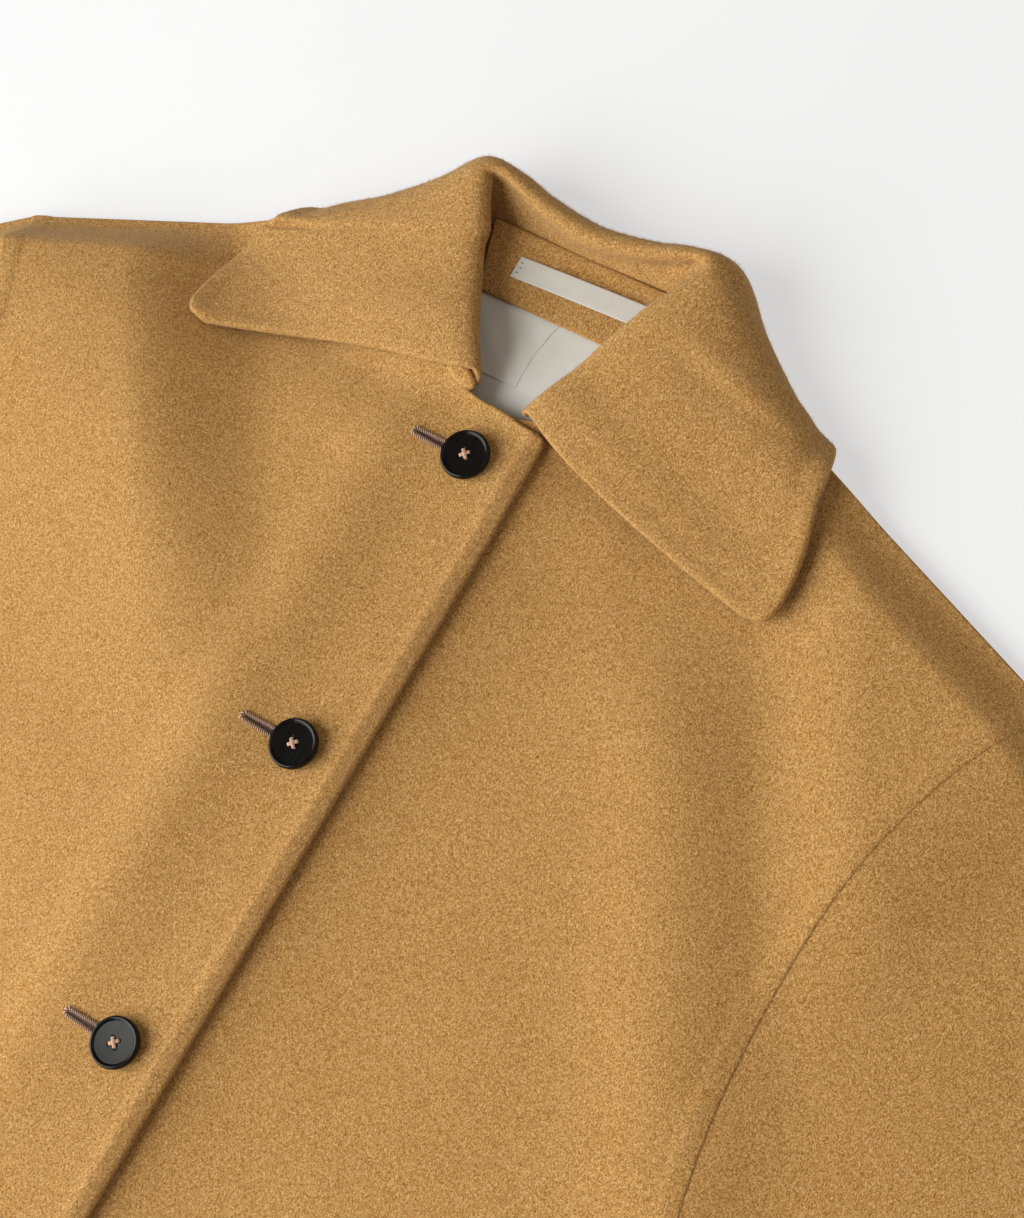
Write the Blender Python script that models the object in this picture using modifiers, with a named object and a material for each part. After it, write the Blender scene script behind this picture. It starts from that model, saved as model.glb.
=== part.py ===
"""Wool coat laid flat, front up, buttoned, with the large pointed collar folded down.

Metres, Z up, +Y towards the collar, +X towards the wearer's left. Plan sizes are from the top
button. All heights are over the floor that the coat lies on.
"""
import bpy
import bmesh
import numpy as np
from math import cos, pi, radians, sin
from mathutils import Vector

for item in list(bpy.data.objects):
    bpy.data.objects.remove(item, do_unlink=True)

# Cloth thickness and the room between layers
WALL = 0.0030
COLLAR_WALL = 0.0050
STAND_WALL = 0.0030
EDGE_EXTRA = 0.0015
EDGE_BAND = 0.013
EDGE_FULL = 0.002
SEAM_GAP = 0.0003
LAYER_GAP = 0.0010
FRONT_GAP = 0.0014
COLLAR_GAP = 0.0021
RIM_ROUND = 0.0010
RIM_BULGE = 0.35
FOLD_KEEP = 0.30
THIN_ROUND = 0.0002
RIM_ANGLE = radians(55.0)

# Body cut, half widths and heights in plan
EDGE_X = 0.0285
EDGE_TOP_Y = 0.0225
EDGE_HOLD = 0.0220
EDGE_HOLD_RISE = 0.001
NECK_START = (-0.004, 0.0262)
HEM_Y = -0.840
HEM_HALF = 0.375
HEM_RISE = 0.018
SHOULDER_TIP = (0.300, 0.015)
UNDERARM = (0.295, -0.335)
ARM_PULL_TOP = (0.230, -0.082)
ARM_PULL_LOW = (0.246, -0.248)

# Sleeve: fall of its axis below the horizontal, length and cuff laid flat
SLEEVE_FALL = radians(40.0)
SLEEVE_LONG = 0.540
CUFF_WIDE = 0.160

# Buttons down the centre front
BUTTON_PITCH = 0.160
BUTTON_COUNT = 4
BUTTON_REST = 0.0006
HOLE_OFF = 0.0019
HOLE_R = 0.0010
HOLE_STEPS = 8
DRILL_LONG = 0.020
BUTTON_STEPS = 24
BUTTON_MERGE = 0.00001
BUTTON_FEEL = 7
# Turned outline from the middle of the face round to the back: radius, height
BUTTON_LINE = (
    (0.0000, 0.0036), (0.0090, 0.0037), (0.0101, 0.0038), (0.0106, 0.0044), (0.0114, 0.0047),
    (0.0121, 0.0042), (0.0125, 0.0028), (0.0121, 0.0012), (0.0105, 0.0003), (0.0000, 0.0000),
)

# The back is lifted where the collar's fall is tucked under it
LIFT = 0.0072
LIFT_RUN = 0.045
LIFT_RUN_X = 0.080
LIFT_KEEP = 0.004
TUCK_Y = 0.057
TUCK_RISE = 0.018
TUCK_HALF = 0.158

# The front cloth rides over lining, over the other front and over its own soft rolls
LINING_ONE = 0.0018
LINING_TWO = 0.0016
STEP_FROM = -0.075
STEP_TO = -0.034
ARM_FADE = 0.070
SIDE_FADE = 0.035
SHOULDER_FADE = 0.030
# The lining under the fronts: half width where it ends and where it is full, start and full height in Y
LINING_REACH = (0.105, 0.075)
LINING_RISE_ONE = (-0.035, 0.0)
LINING_RISE_TWO = (0.015, 0.040)
# Soft roll down the left front: place at the top button's height, lean along Y, half width, height, run in Y
ROLL_AT = 0.113
ROLL_LEAN = -0.585
ROLL_WIDE = 0.042
ROLL_HIGH = 0.0078
ROLL_FADE = 0.090
# Rise of each front to its armhole, left and right: foot at the top button's height, lean, run, height, and
# the two heights in Y between which it dies away
ARM_RISE = (
    (0.152, -0.585, 0.065, 0.0105, -0.335, -0.265),
    (0.121, 0.690, 0.090, 0.0225, -0.210, -0.030),
)
# Swell of the right front below the collar: height, its run in X, then in Y above and below
SWELL_HIGH = 0.0085
SWELL_X = (0.0, 0.060)
SWELL_TOP = (0.046, -0.022)
SWELL_LOW = (-0.450, -0.200)
# Turned facings under the button line: height, half width where they are full and where they end on the
# left and on the right, fall on the left
BULK_HIGH = 0.0080
BULK_FULL = 0.022
BULK_END = 0.116
BULK_FAR = 0.180
BULK_POWER = 3.0

# Lining and neck pieces
LINING_WALL = 0.0010
FACING_WALL = 0.0025
FACING_LOW_Y = 0.0805
FACING_HALF_LOW = 0.044
FACING_HALF_TOP = 0.055
YOKE_LOW_Y = 0.0430
YOKE_UNDER = 0.006
PLEAT_OVER = 0.012
PLEAT_TOP_X = 0.0025
PLEAT_LOW_X = -0.0010
LINING_LOW_Y = 0.004
LINING_RIGHT = (0.040, 0.052)
LINING_LEFT = (0.017, 0.045)
TAPE_LEFT = -0.0320
TAPE_RIGHT = 0.0490
TAPE_WIDE = 0.0112
TAPE_Y = 0.0980
TAPE_WALL = 0.0008
TAPE_TURN = 0.04

# Collar half, from the front end round to the centre back.
# Lying rows: neck seam x y, fold x y z, outer edge x y
LYING = (
    (0.0145, 0.0315, 0.0150, 0.0335, 0.0190, 0.1620, -0.0020),
    (0.0320, 0.0380, 0.0215, 0.0470, 0.0235, 0.1720, 0.0020),
    (0.0490, 0.0500, 0.0295, 0.0630, 0.0280, 0.1735, 0.0200),
    (0.0620, 0.0660, 0.0375, 0.0800, 0.0320, 0.1710, 0.0380),
    (0.0700, 0.0810, 0.0455, 0.0960, 0.0350, 0.1660, 0.0570),
)
# Tucked rows: neck seam x y, fold x y z, turn x y z, outer edge x y z, then the brow between fold and turn:
# its share of the way in plan and of the drop
TUCKED = (
    (0.0730, 0.0885, 0.0495, 0.1035, 0.0362, 0.1455, 0.0735, 0.0215, 0.1590, 0.0690, 0.0207, 0.62, 0.50),
    (0.0760, 0.0970, 0.0545, 0.1120, 0.0368, 0.1405, 0.0862, 0.0150, 0.1500, 0.0822, 0.0075, 0.68, 0.50),
    (0.0775, 0.1040, 0.0595, 0.1210, 0.0372, 0.1270, 0.0955, 0.0095, 0.1320, 0.0700, 0.0029, 0.72, 0.48),
    (0.0745, 0.1090, 0.0620, 0.1290, 0.0372, 0.0995, 0.1160, 0.0085, 0.1080, 0.0620, 0.0029, 0.78, 0.46),
    (0.0640, 0.1118, 0.0565, 0.1322, 0.0362, 0.0740, 0.1380, 0.0085, 0.0810, 0.0595, 0.0029, 0.95, 0.30),
    (0.0485, 0.1128, 0.0440, 0.1290, 0.0340, 0.0500, 0.1378, 0.0085, 0.0580, 0.0585, 0.0029, 1.00, 0.28),
    (0.0300, 0.1132, 0.0280, 0.1242, 0.0318, 0.0310, 0.1334, 0.0082, 0.0370, 0.0578, 0.0029, 1.00, 0.28),
    (0.0000, 0.1135, 0.0000, 0.1203, 0.0303, 0.0000, 0.1300, 0.0080, 0.0000, 0.0575, 0.0029, 1.00, 0.28),
)
ROLL_IN = 0.0012
ROLL_OVER = 0.0085
ROLL_BACK = 0.0045
ROLL_UP = 0.0008
ROLL_DROP = 0.0090
UNDER_PART = 0.22
BOW_RUN = 0.045
NECK_SINK = 0.0030
NECK_Z_BACK = 0.0095
NECK_Z_MORE = 0.0040
NECK_Z_RUN = (0.109, 0.100)
ROLL_RUN = (0.070, 0.050)
# Share of the way from the neck seam to the fold where the stand bends, and of its height there
STAND_BEND = 0.60
STAND_BEND_BACK = 0.55
STAND_RISE = 0.80
STAND_LEAST = 0.30
# Share of the way across the collar where the wall grows from the stand's to the fall's
WALL_RUN = (0.20, 0.50)
END_SHRINK = 0.45
# Share of the way from fold to edge, share of the fold's height that is kept there
FALL_LOFT = ((0.24, 0.72), (0.52, 0.42), (0.78, 0.16), (1.0, 0.0))
# Each half as it lies: rise of the point, bow of the front edge, how far its outer edge is drawn in, rise of
# the fold's front end, how far its fold lies out, how far its outer edge stands off the front
HALF_LIE = {
    -1.0: (0.0050, 0.0060, 0.0, 0.0030, 0.0030, 0.0),
    1.0: (-0.0045, -0.0030, 0.0040, -0.0035, 0.0, 0.0030),
}
COLLAR_STATIONS = 25
# Places across the collar from neck seam to edge, close together round the fold
ACROSS = np.concatenate([np.linspace(0, 0.14, 3), np.linspace(0.18, 0.48, 10), np.linspace(0.55, 1, 7)])

PARTS = bpy.data.collections.new("coat")
CUTTERS = bpy.data.collections.new("cutters")
bpy.context.scene.collection.children.link(PARTS)
bpy.context.scene.collection.children.link(CUTTERS)


def smooth(low, high, value):
    """Ease from 0 at low to 1 at high."""
    t = np.clip((value - low) / (high - low), 0.0, 1.0)
    return t * t * (3.0 - 2.0 * t)


def through(rows, places):
    """Curve through the rows, at fractional row numbers."""
    rows = np.asarray(rows, dtype=float)
    last = len(rows) - 1
    padded = np.concatenate([2 * rows[:1] - rows[1:2], rows, 2 * rows[-1:] - rows[-2:-1]])
    cell = np.clip(np.floor(places).astype(int), 0, last - 1)
    t = (np.asarray(places) - cell).reshape(-1, *([1] * (rows.ndim - 1)))
    a, b, c, d = (padded[cell + k] for k in range(4))
    return 0.5 * (2 * b + (c - a) * t + (2 * a - 5 * b + 4 * c - d) * t ** 2
                  + (3 * b - a - 3 * c + d) * t ** 3)


def rounded(control, places):
    """Cubic curve that starts and ends on the control points and rounds those between."""
    count = control.shape[0]
    knots = np.concatenate([np.zeros(3), np.linspace(0, 1, count - 2), np.ones(3)])
    t = np.clip(places, 0.0, 1.0 - 1e-9)
    basis = ((t[:, None] >= knots[None, :-1]) & (t[:, None] < knots[None, 1:])).astype(float)
    for order in range(1, 4):
        wide = basis.shape[1] - 1
        lower = knots[order:order + wide] - knots[:wide]
        upper = knots[order + 1:order + 1 + wide] - knots[1:1 + wide]
        rise = (t[:, None] - knots[:wide]) / np.where(lower > 0, lower, 1.0) * (lower > 0)
        fall = (knots[order + 1:order + 1 + wide] - t[:, None]) / np.where(upper > 0, upper, 1.0)
        fall = fall * (upper > 0)
        basis = rise * basis[:, :wide] + fall * basis[:, 1:wide + 1]
    return np.tensordot(basis, control, axes=(1, 0))


def bezier(p0, p1, p2, p3, t):
    """Cubic between two points with two pulls."""
    t = np.asarray(t)[:, None]
    p0, p1, p2, p3 = (np.array(p) for p in (p0, p1, p2, p3))
    return (1 - t) ** 3 * p0 + 3 * (1 - t) ** 2 * t * p1 + 3 * (1 - t) * t ** 2 * p2 + t ** 3 * p3


def armhole(t):
    """Seam from the shoulder tip (0) to the underarm (1)."""
    return bezier(SHOULDER_TIP, ARM_PULL_TOP, ARM_PULL_LOW, UNDERARM, t)


ALL_ROWS = [row[:5] for row in LYING] + [row[:5] for row in TUCKED]
SHOULDER_ROW = 7
NECK_EDGE_OFF = COLLAR_WALL / 2 + 5 * SEAM_GAP


def neck_edge(rows):
    """Cloth edge of the neckline at the collar's rows, just outside the collar's own wall."""
    rows = np.array(ALL_ROWS)[rows]
    out = rows[:, 0:2] - rows[:, 2:4]
    return rows[:, 0:2] + out / np.linalg.norm(out, axis=1)[:, None] * NECK_EDGE_OFF


NECK_POINT = neck_edge([SHOULDER_ROW])[0]
ARM_LINE = armhole(np.linspace(0, 1, 60))[::-1]


def shoulder_y(x):
    """Height in plan of the shoulder seam."""
    slope = (SHOULDER_TIP[1] - NECK_POINT[1]) / (SHOULDER_TIP[0] - NECK_POINT[0])
    return NECK_POINT[1] + slope * (np.abs(x) - NECK_POINT[0])


def half_width(y):
    """Body's half width: armhole above the underarm, side seam below it."""
    side = UNDERARM[0] + (HEM_HALF - UNDERARM[0]) * (UNDERARM[1] - y) / (UNDERARM[1] - HEM_Y)
    return np.where(y > UNDERARM[1], np.interp(y, ARM_LINE[:, 1], ARM_LINE[:, 0]), side)


def back_under(x, y):
    """Underside of the back: on the floor, lifted over the tucked collar."""
    edge = TUCK_Y + TUCK_RISE * (np.abs(x) / TUCK_HALF) ** 4
    along = smooth(-LIFT_RUN, -LIFT_KEEP, y - edge)
    across = smooth(-LIFT_RUN_X, -LIFT_KEEP, TUCK_HALF - np.abs(x))
    return LIFT * along * across


def front_under(x, y):
    """Underside of a front where it lies on the back."""
    from_side = half_width(y) - np.abs(x)
    at_arm = smooth(UNDERARM[1], UNDERARM[1] + ARM_FADE, y)
    free = smooth(0.0, SIDE_FADE, from_side) * (1 - at_arm) + at_arm
    free = free * smooth(0.0, SHOULDER_FADE, shoulder_y(x) - y)
    rolls = ROLL_HIGH * np.exp(-((x - ROLL_AT - ROLL_LEAN * y) / ROLL_WIDE) ** 2) * smooth(0.0, -ROLL_FADE, y)
    for (foot, lean, run, high, low, top), side in zip(ARM_RISE, (x >= 0, x < 0)):
        start = foot + lean * y
        rolls = rolls + side * high * smooth(low, top, y) * smooth(start, start + run, np.abs(x))
    rolls = rolls + SWELL_HIGH * smooth(*SWELL_X, -x) * smooth(*SWELL_TOP, y) * smooth(*SWELL_LOW, y)
    lining = LINING_ONE * smooth(*LINING_RISE_ONE, y) + LINING_TWO * smooth(*LINING_RISE_TWO, y)
    lining = lining * smooth(*LINING_REACH, np.abs(x))
    left = np.clip((BULK_END - x) / (BULK_END - BULK_FULL), 0.0, 1.0) ** BULK_POWER
    bulk = BULK_HIGH * np.where(x > 0, left, smooth(-BULK_FAR, -BULK_FULL, x))
    return back_under(x, y) + WALL + LAYER_GAP + free * rolls + lining + bulk


def overlap_step(x):
    """Rise of the wearer's right front where it crosses the edge of the left one."""
    return (WALL + FRONT_GAP) * smooth(STEP_FROM, STEP_TO, x)


def under_of(side, x, y):
    """Underside of the left front (side 1) or of the right front (side -1), which is on top."""
    return front_under(x, y) + (overlap_step(x) if side < 0 else 0.0)


def edge_thickness(side, x, y):
    """Wall of a front: doubled along the right front's open edge."""
    if side > 0:
        return np.full_like(x, WALL)
    near = np.minimum(EDGE_X - x, EDGE_BAND)
    return WALL + EDGE_EXTRA * smooth(EDGE_BAND, EDGE_FULL, near)


def coons(left, right, low, top, u=None, v=None):
    """Plan grid filled between four edge curves; u runs along low and top, v along left and right."""
    u = (np.linspace(0, 1, len(low)) if u is None else u)[:, None, None]
    v = (np.linspace(0, 1, len(left)) if v is None else v)[None, :, None]
    ruled_u = (1 - u) * left[None] + u * right[None]
    ruled_v = (1 - v) * low[:, None] + v * top[:, None]
    corners = ((1 - u) * (1 - v) * low[0] + u * (1 - v) * low[-1] + (1 - u) * v * top[0] + u * v * top[-1])
    return ruled_u + ruled_v - corners


def plain_material(name, finish):
    """Plain Principled material of a colour and roughness."""
    colour, rough = finish
    mat = bpy.data.materials.new(name)
    mat.use_nodes = True
    shader = mat.node_tree.nodes["Principled BSDF"]
    shader.inputs["Base Color"].default_value = (*colour, 1.0)
    shader.inputs["Roughness"].default_value = rough
    mat.diffuse_color = (*colour, 1.0)
    return mat


# Colour and roughness
WOOL = ((0.46, 0.25, 0.08), 0.95)
SATIN = ((0.38, 0.35, 0.30), 0.45)
TAPE = ((0.52, 0.50, 0.45), 0.80)
BLACK = ((0.012, 0.011, 0.010), 0.15)


def cloth(name, surface, thick, finish, rim=RIM_ROUND, rim_steps=2):
    """Open sheet over a grid of points, given its wall and a rounded rim."""
    thick = np.broadcast_to(thick, surface.shape[:2])
    cells_u, cells_v = surface.shape[0] - 1, surface.shape[1] - 1
    bm = bmesh.new()
    bmesh.ops.create_grid(bm, x_segments=cells_u, y_segments=cells_v, size=1.0)
    layer = bm.verts.layers.deform.verify()
    for vert in bm.verts:
        place = (round((vert.co.x + 1) / 2 * cells_u), round((vert.co.y + 1) / 2 * cells_v))
        vert.co = surface[place]
        vert[layer][0] = float(thick[place] / thick.max())
    bm.normal_update()
    if sum(face.normal.z for face in bm.faces) < 0:
        bmesh.ops.reverse_faces(bm, faces=bm.faces[:])
    mesh = bpy.data.meshes.new(name)
    bm.to_mesh(mesh)
    bm.free()
    obj = bpy.data.objects.new(name, mesh)
    obj.vertex_groups.new(name="wall")
    PARTS.objects.link(obj)
    wall = obj.modifiers.new("wall", "SOLIDIFY")
    wall.thickness = float(thick.max())
    wall.offset = 1.0
    wall.vertex_group = "wall"
    edge = obj.modifiers.new("rim", "BEVEL")
    edge.width = rim
    edge.segments = rim_steps
    edge.limit_method = "ANGLE"
    edge.angle_limit = RIM_ANGLE
    mesh.materials.append(plain_material(name, finish))
    for poly in mesh.polygons:
        poly.use_smooth = True
    return obj


# Fronts and back
SIDE_ROWS = 4
EDGE_ROWS = 5
COLS = np.array([0.0, 0.018, 0.042, 0.085, 0.145, 0.190, 0.230, 0.270, 0.315, 0.36, 0.41, 0.46, 0.52, 0.58,
                 0.65, 0.72, 0.79, 0.86, 0.93, 1.0])
NECK_ARM = 0.42
BACK_COLS = np.array([0.085, 0.19, 0.27, 0.32, 0.40, 0.50, 0.61, 0.72, 0.86, 1.0])
BACK_HEM = np.array([0.0, 0.024, 0.048, 0.074, 0.102, 0.130])


def hem_y(x):
    """Hem, lifting a little towards the side seams."""
    return HEM_Y + HEM_RISE * (np.abs(x) / HEM_HALF) ** 2


NECK_CURVE = np.concatenate([[(-EDGE_X, EDGE_TOP_Y), (-EDGE_HOLD, EDGE_TOP_Y + EDGE_HOLD_RISE), NECK_START],
                             neck_edge(list(range(SHOULDER_ROW + 1)))])
ARM_PLACES = np.concatenate([np.linspace(1.0, NECK_ARM, EDGE_ROWS + 1),
                             np.linspace(NECK_ARM, 0.0, len(NECK_CURVE))[1:]])


def side_line():
    """Side seam from the hem up, then the armhole seam up to the shoulder tip."""
    foot = np.array([HEM_HALF, hem_y(HEM_HALF)])
    seam = foot + (np.array(UNDERARM) - foot) * np.linspace(0, 1, SIDE_ROWS + 1)[:-1, None]
    return np.concatenate([seam, armhole(ARM_PLACES)])


def front_plan():
    """Plan of the wearer's left front: from its hidden edge and the neckline to the side and armhole."""
    right = side_line()
    open_rows = SIDE_ROWS + EDGE_ROWS
    rise = (right[:open_rows, 1] - right[0, 1]) / (right[open_rows, 1] - right[0, 1])
    edge_y = hem_y(EDGE_X) + (EDGE_TOP_Y - hem_y(EDGE_X)) * rise
    left = np.concatenate([np.stack([np.full_like(edge_y, -EDGE_X), edge_y], axis=1), NECK_CURVE])
    hem_x = -EDGE_X + (HEM_HALF + EDGE_X) * COLS
    low = np.stack([hem_x, hem_y(hem_x)], axis=1)
    top = NECK_POINT + (np.array(SHOULDER_TIP) - NECK_POINT) * COLS[:, None]
    v = (right[:, 1] - right[0, 1]) / (right[-1, 1] - right[0, 1])
    return coons(left, right, low, top, u=COLS, v=v)


def front(name, side):
    """One front panel; side 1 is the wearer's left, -1 the wearer's right on top of it."""
    plan = front_plan() * np.array([side, 1.0])
    x, y = plan[..., 0], plan[..., 1]
    under = np.stack([x, y, under_of(side, x, y)], axis=-1)
    return cloth(name, under, edge_thickness(side, x, y), WOOL)


def back():
    """The back in one piece, from side seam to side seam."""
    neck = neck_edge(list(range(SHOULDER_ROW, len(ALL_ROWS))))
    shoulder = NECK_POINT + (np.array(SHOULDER_TIP) - NECK_POINT) * BACK_COLS[:, None]
    half_top = np.concatenate([neck[::-1], shoulder])
    half_x = np.concatenate([BACK_HEM, BACK_HEM[-1] + (HEM_HALF - BACK_HEM[-1]) * BACK_COLS])
    low_half = np.stack([half_x, hem_y(half_x)], axis=1)
    flip = np.array([-1.0, 1.0])
    top = np.concatenate([(half_top * flip)[:0:-1], half_top])
    low = np.concatenate([(low_half * flip)[:0:-1], low_half])
    right = side_line()
    v = (right[:, 1] - right[0, 1]) / (right[-1, 1] - right[0, 1])
    plan = coons(right * flip, right, low, top, v=v)
    x, y = plan[..., 0], plan[..., 1]
    under = np.stack([x, y, back_under(x, y)], axis=-1)
    return cloth("back", under, WALL, WOOL, rim_steps=1)


# Sleeves
SLEEVE_COLS = np.array([0.0, 0.045, 0.09, 0.14, 0.30, 0.62, 1.0])
SLEEVE_ROWS = ARM_PLACES[::-1]
SLEEVE_BOW = 0.010
SLEEVE_PUFF = 0.0024
SLEEVE_BLEND = 0.125


def sleeve(name, side, upper):
    """Half of a sleeve laid flat, the top half over the under half."""
    axis = np.array([cos(SLEEVE_FALL), -sin(SLEEVE_FALL)])
    across = np.array([-sin(SLEEVE_FALL), -cos(SLEEVE_FALL)])
    seam = armhole(SLEEVE_ROWS)
    along = np.gradient(seam, axis=0)
    along = along / np.linalg.norm(along, axis=1)[:, None]
    arm = seam + SEAM_GAP * along[:, ::-1] * np.array([-1.0, 1.0])
    cuff = arm[0] + SLEEVE_LONG * axis + CUFF_WIDE * SLEEVE_ROWS[:, None] * across
    bow = SLEEVE_BOW * 4 * (SLEEVE_COLS * (1 - SLEEVE_COLS))[:, None] * across
    outer = arm[0] + (cuff[0] - arm[0]) * SLEEVE_COLS[:, None] - bow
    inner = arm[-1] + (cuff[-1] - arm[-1]) * SLEEVE_COLS[:, None] - bow
    plan = coons(arm, cuff, outer, inner, u=SLEEVE_COLS, v=SLEEVE_ROWS)
    x, y = plan[..., 0], plan[..., 1]
    z = np.zeros_like(x)
    if upper:
        level = front_under(side * seam[:, 0], seam[:, 1])[None, :]
        flat = WALL + LAYER_GAP + SLEEVE_PUFF * np.sin(pi * SLEEVE_ROWS)[None, :]
        z = level + (flat - level) * smooth(0.0, SLEEVE_BLEND, SLEEVE_COLS)[:, None]
    points = np.stack([x * side, y, z], axis=-1)
    return cloth(name, points, WALL, WOOL, rim_steps=2 if upper else 1)


# Collar
def lying_section(row, side):
    """Control points across the collar where its fall lies on a front."""
    nx, ny, fx, fy, fz, ex, ey = row
    rise, bow, draw, end_rise, spread, stand_off = HALF_LIE[side]
    at_end = max(0.0, 1.0 - (fy - LYING[0][3]) / BOW_RUN)
    neck, edge = np.array([nx, ny + abs(end_rise) * at_end]), np.array([ex - draw, ey + rise])
    fold = np.array([fx + spread * (1.0 - at_end), fy + end_rise * at_end])
    reach = edge - fold
    out = reach / np.linalg.norm(reach)
    bow = bow * at_end

    def rest(place):
        return float(under_of(side, np.array(place[0] * side), np.array(place[1]))) + WALL

    neck_z = rest(neck) - NECK_SINK
    lie = COLLAR_GAP + COLLAR_WALL / 2
    fold_z = max(fz, rest(fold + out * ROLL_OVER) + lie + ROLL_UP)
    low_z = max(fold_z - ROLL_DROP, neck_z + STAND_LEAST * (fold_z - neck_z))
    bend = neck + (fold - neck) * STAND_BEND
    points = [(*neck, neck_z), (*bend, neck_z + STAND_RISE * (low_z - neck_z)),
              (*(fold - out * ROLL_IN), low_z), (*(fold - out * ROLL_IN), fold_z),
              (*(fold + out * ROLL_OVER), fold_z + ROLL_UP)]
    for part, lofty in FALL_LOFT:
        place = fold + reach * part + np.array([0.0, bow * 4 * part * (1 - part)])
        level = rest(place) + lie + stand_off * part
        points.append((*place, level + lofty * max(0.0, fold_z - level)))
    return np.array(points)


def tucked_section(row):
    """Control points across the collar where its fall turns under the back."""
    nx, ny, fx, fy, fz, wx, wy, wz, ex, ey, ez, reach, drop = row
    neck = np.array([nx, ny, NECK_Z_BACK + NECK_Z_MORE * float(smooth(*NECK_Z_RUN, np.array(ny)))])
    fold = np.array([fx, fy, fz])
    turn, edge = np.array([wx, wy, wz]), np.array([ex, ey, ez])
    out = (turn - fold) * np.array([1.0, 1.0, 0.0])
    out = out / np.linalg.norm(out)
    up = np.array([0.0, 0.0, 1.0])
    brow = fold + (turn - fold) * reach
    brow[2] = fz + (wz - fz) * drop
    under = turn + (edge - turn) * UNDER_PART
    under[2] = edge[2]
    over = ROLL_OVER + (ROLL_BACK - ROLL_OVER) * float(smooth(*ROLL_RUN, np.array(nx)))
    stand = neck + (fold - neck) * np.array([STAND_BEND_BACK, STAND_BEND_BACK, 0.0])
    stand[2] = neck[2] + STAND_RISE * (fz - ROLL_DROP - neck[2])
    return np.array([neck, stand, fold - out * ROLL_IN - up * ROLL_DROP, fold - out * ROLL_IN,
                     fold + out * over + up * ROLL_UP, brow, turn, under, edge])


def collar():
    """Stand and fall in one, through the sections of both halves."""
    halves = {}
    for side in HALF_LIE:
        rows = [lying_section(row, side) for row in LYING] + [tucked_section(row) for row in TUCKED]
        halves[side] = np.array(rows) * np.array([side, 1.0, 1.0])
    rows = np.concatenate([halves[-1.0], halves[1.0][-2::-1]])
    last = len(rows) - 1
    half = (len(LYING) + len(TUCKED) - 1) * np.linspace(0, 1, COLLAR_STATIONS)
    places = np.concatenate([half, last - half[-2::-1]])
    sections = through(rows, places)
    surface = np.array([rounded(section, ACROSS) for section in sections])
    wall = STAND_WALL + (COLLAR_WALL - STAND_WALL) * smooth(*WALL_RUN, ACROSS)
    return lofted("collar", surface, wall, WOOL)


def hollow_room(middle, normal, most):
    """How far a side may stand off the middle: less where that side is hollow and turns tightly."""
    room = most
    for axis in (0, 1):
        step = np.gradient(middle, axis=axis)
        bend = np.sum(np.gradient(normal, axis=axis) * step, axis=2) / np.sum(step * step, axis=2)
        room = np.where(bend < 0, np.minimum(room, FOLD_KEEP / np.maximum(-bend, 1e-6)), room)
    for axis in (0, 1):
        pad = [(1, 1) if k == axis else (0, 0) for k in (0, 1)]
        wide = np.pad(room, pad, mode="edge")
        room = np.minimum(np.minimum(np.take(wide, range(0, room.shape[axis]), axis=axis),
                                     np.take(wide, range(2, room.shape[axis] + 2), axis=axis)), room)
    return room[..., None]


def lofted(name, middle, wall, finish):
    """Closed wall with rounded rims about a middle surface, as rings joined from end to end."""
    along = np.gradient(middle, axis=0)
    across = np.gradient(middle, axis=1)
    normal = np.cross(along, across)
    normal = normal / np.linalg.norm(normal, axis=2)[..., None]
    half = np.broadcast_to(wall / 2, middle.shape[:2])
    over = middle + normal * hollow_room(middle, normal, half)
    under = middle - normal * hollow_room(middle, -normal, half)
    way_in = middle[:, :1] - middle[:, 1:2]
    way_out = middle[:, -1:] - middle[:, -2:-1]
    way_in = way_in / np.linalg.norm(way_in, axis=2)[..., None]
    way_out = way_out / np.linalg.norm(way_out, axis=2)[..., None]
    rings = np.concatenate([over, middle[:, -1:] + way_out * wall[-1] * RIM_BULGE, under[:, ::-1],
                            middle[:, :1] + way_in * wall[0] * RIM_BULGE], axis=1)
    flat = np.concatenate([middle, middle[:, -1:], middle[:, ::-1], middle[:, :1]], axis=1)
    ends = []
    for end, inward in ((0, 1), (-1, -2)):
        away = middle[end] - middle[inward]
        away = away / np.linalg.norm(away, axis=1)[:, None] * wall[:, None] * RIM_BULGE
        away = np.concatenate([away, away[-1:], away[::-1], away[:1]])
        ends.append((flat[end] + END_SHRINK * (rings[end] - flat[end]) + away)[None])
    rings = np.concatenate([ends[0], rings, ends[1]])
    count, size = rings.shape[:2]
    index = np.arange(count * size).reshape(count, size)
    following = np.roll(index, -1, axis=1)
    faces = np.stack([index[:-1], following[:-1], following[1:], index[1:]], axis=-1).reshape(-1, 4).tolist()
    wide = middle.shape[1]
    for end in (0, -1):
        top, low = index[end, :wide], index[end, wide + 1:2 * wide + 1][::-1]
        cap = [[top[k], top[k + 1], low[k + 1], low[k]] for k in range(wide - 1)]
        cap += [[top[-1], index[end, wide], low[-1]], [low[0], index[end, -1], top[0]]]
        faces += [[int(n) for n in (face if end == -1 else face[::-1])] for face in cap]
    mesh = bpy.data.meshes.new(name)
    mesh.from_pydata(rings.reshape(-1, 3).tolist(), [], faces)
    bm = bmesh.new()
    bm.from_mesh(mesh)
    bmesh.ops.recalc_face_normals(bm, faces=bm.faces[:])
    bm.to_mesh(mesh)
    bm.free()
    obj = bpy.data.objects.new(name, mesh)
    PARTS.objects.link(obj)
    mesh.materials.append(plain_material(name, finish))
    for poly in mesh.polygons:
        poly.use_smooth = True
    return obj


# Pieces that show inside the neck
def inside(x, y, above):
    """Points lying over the back by a height."""
    return np.stack([x, y, back_under(x, y) + WALL + above], axis=-1)


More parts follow.
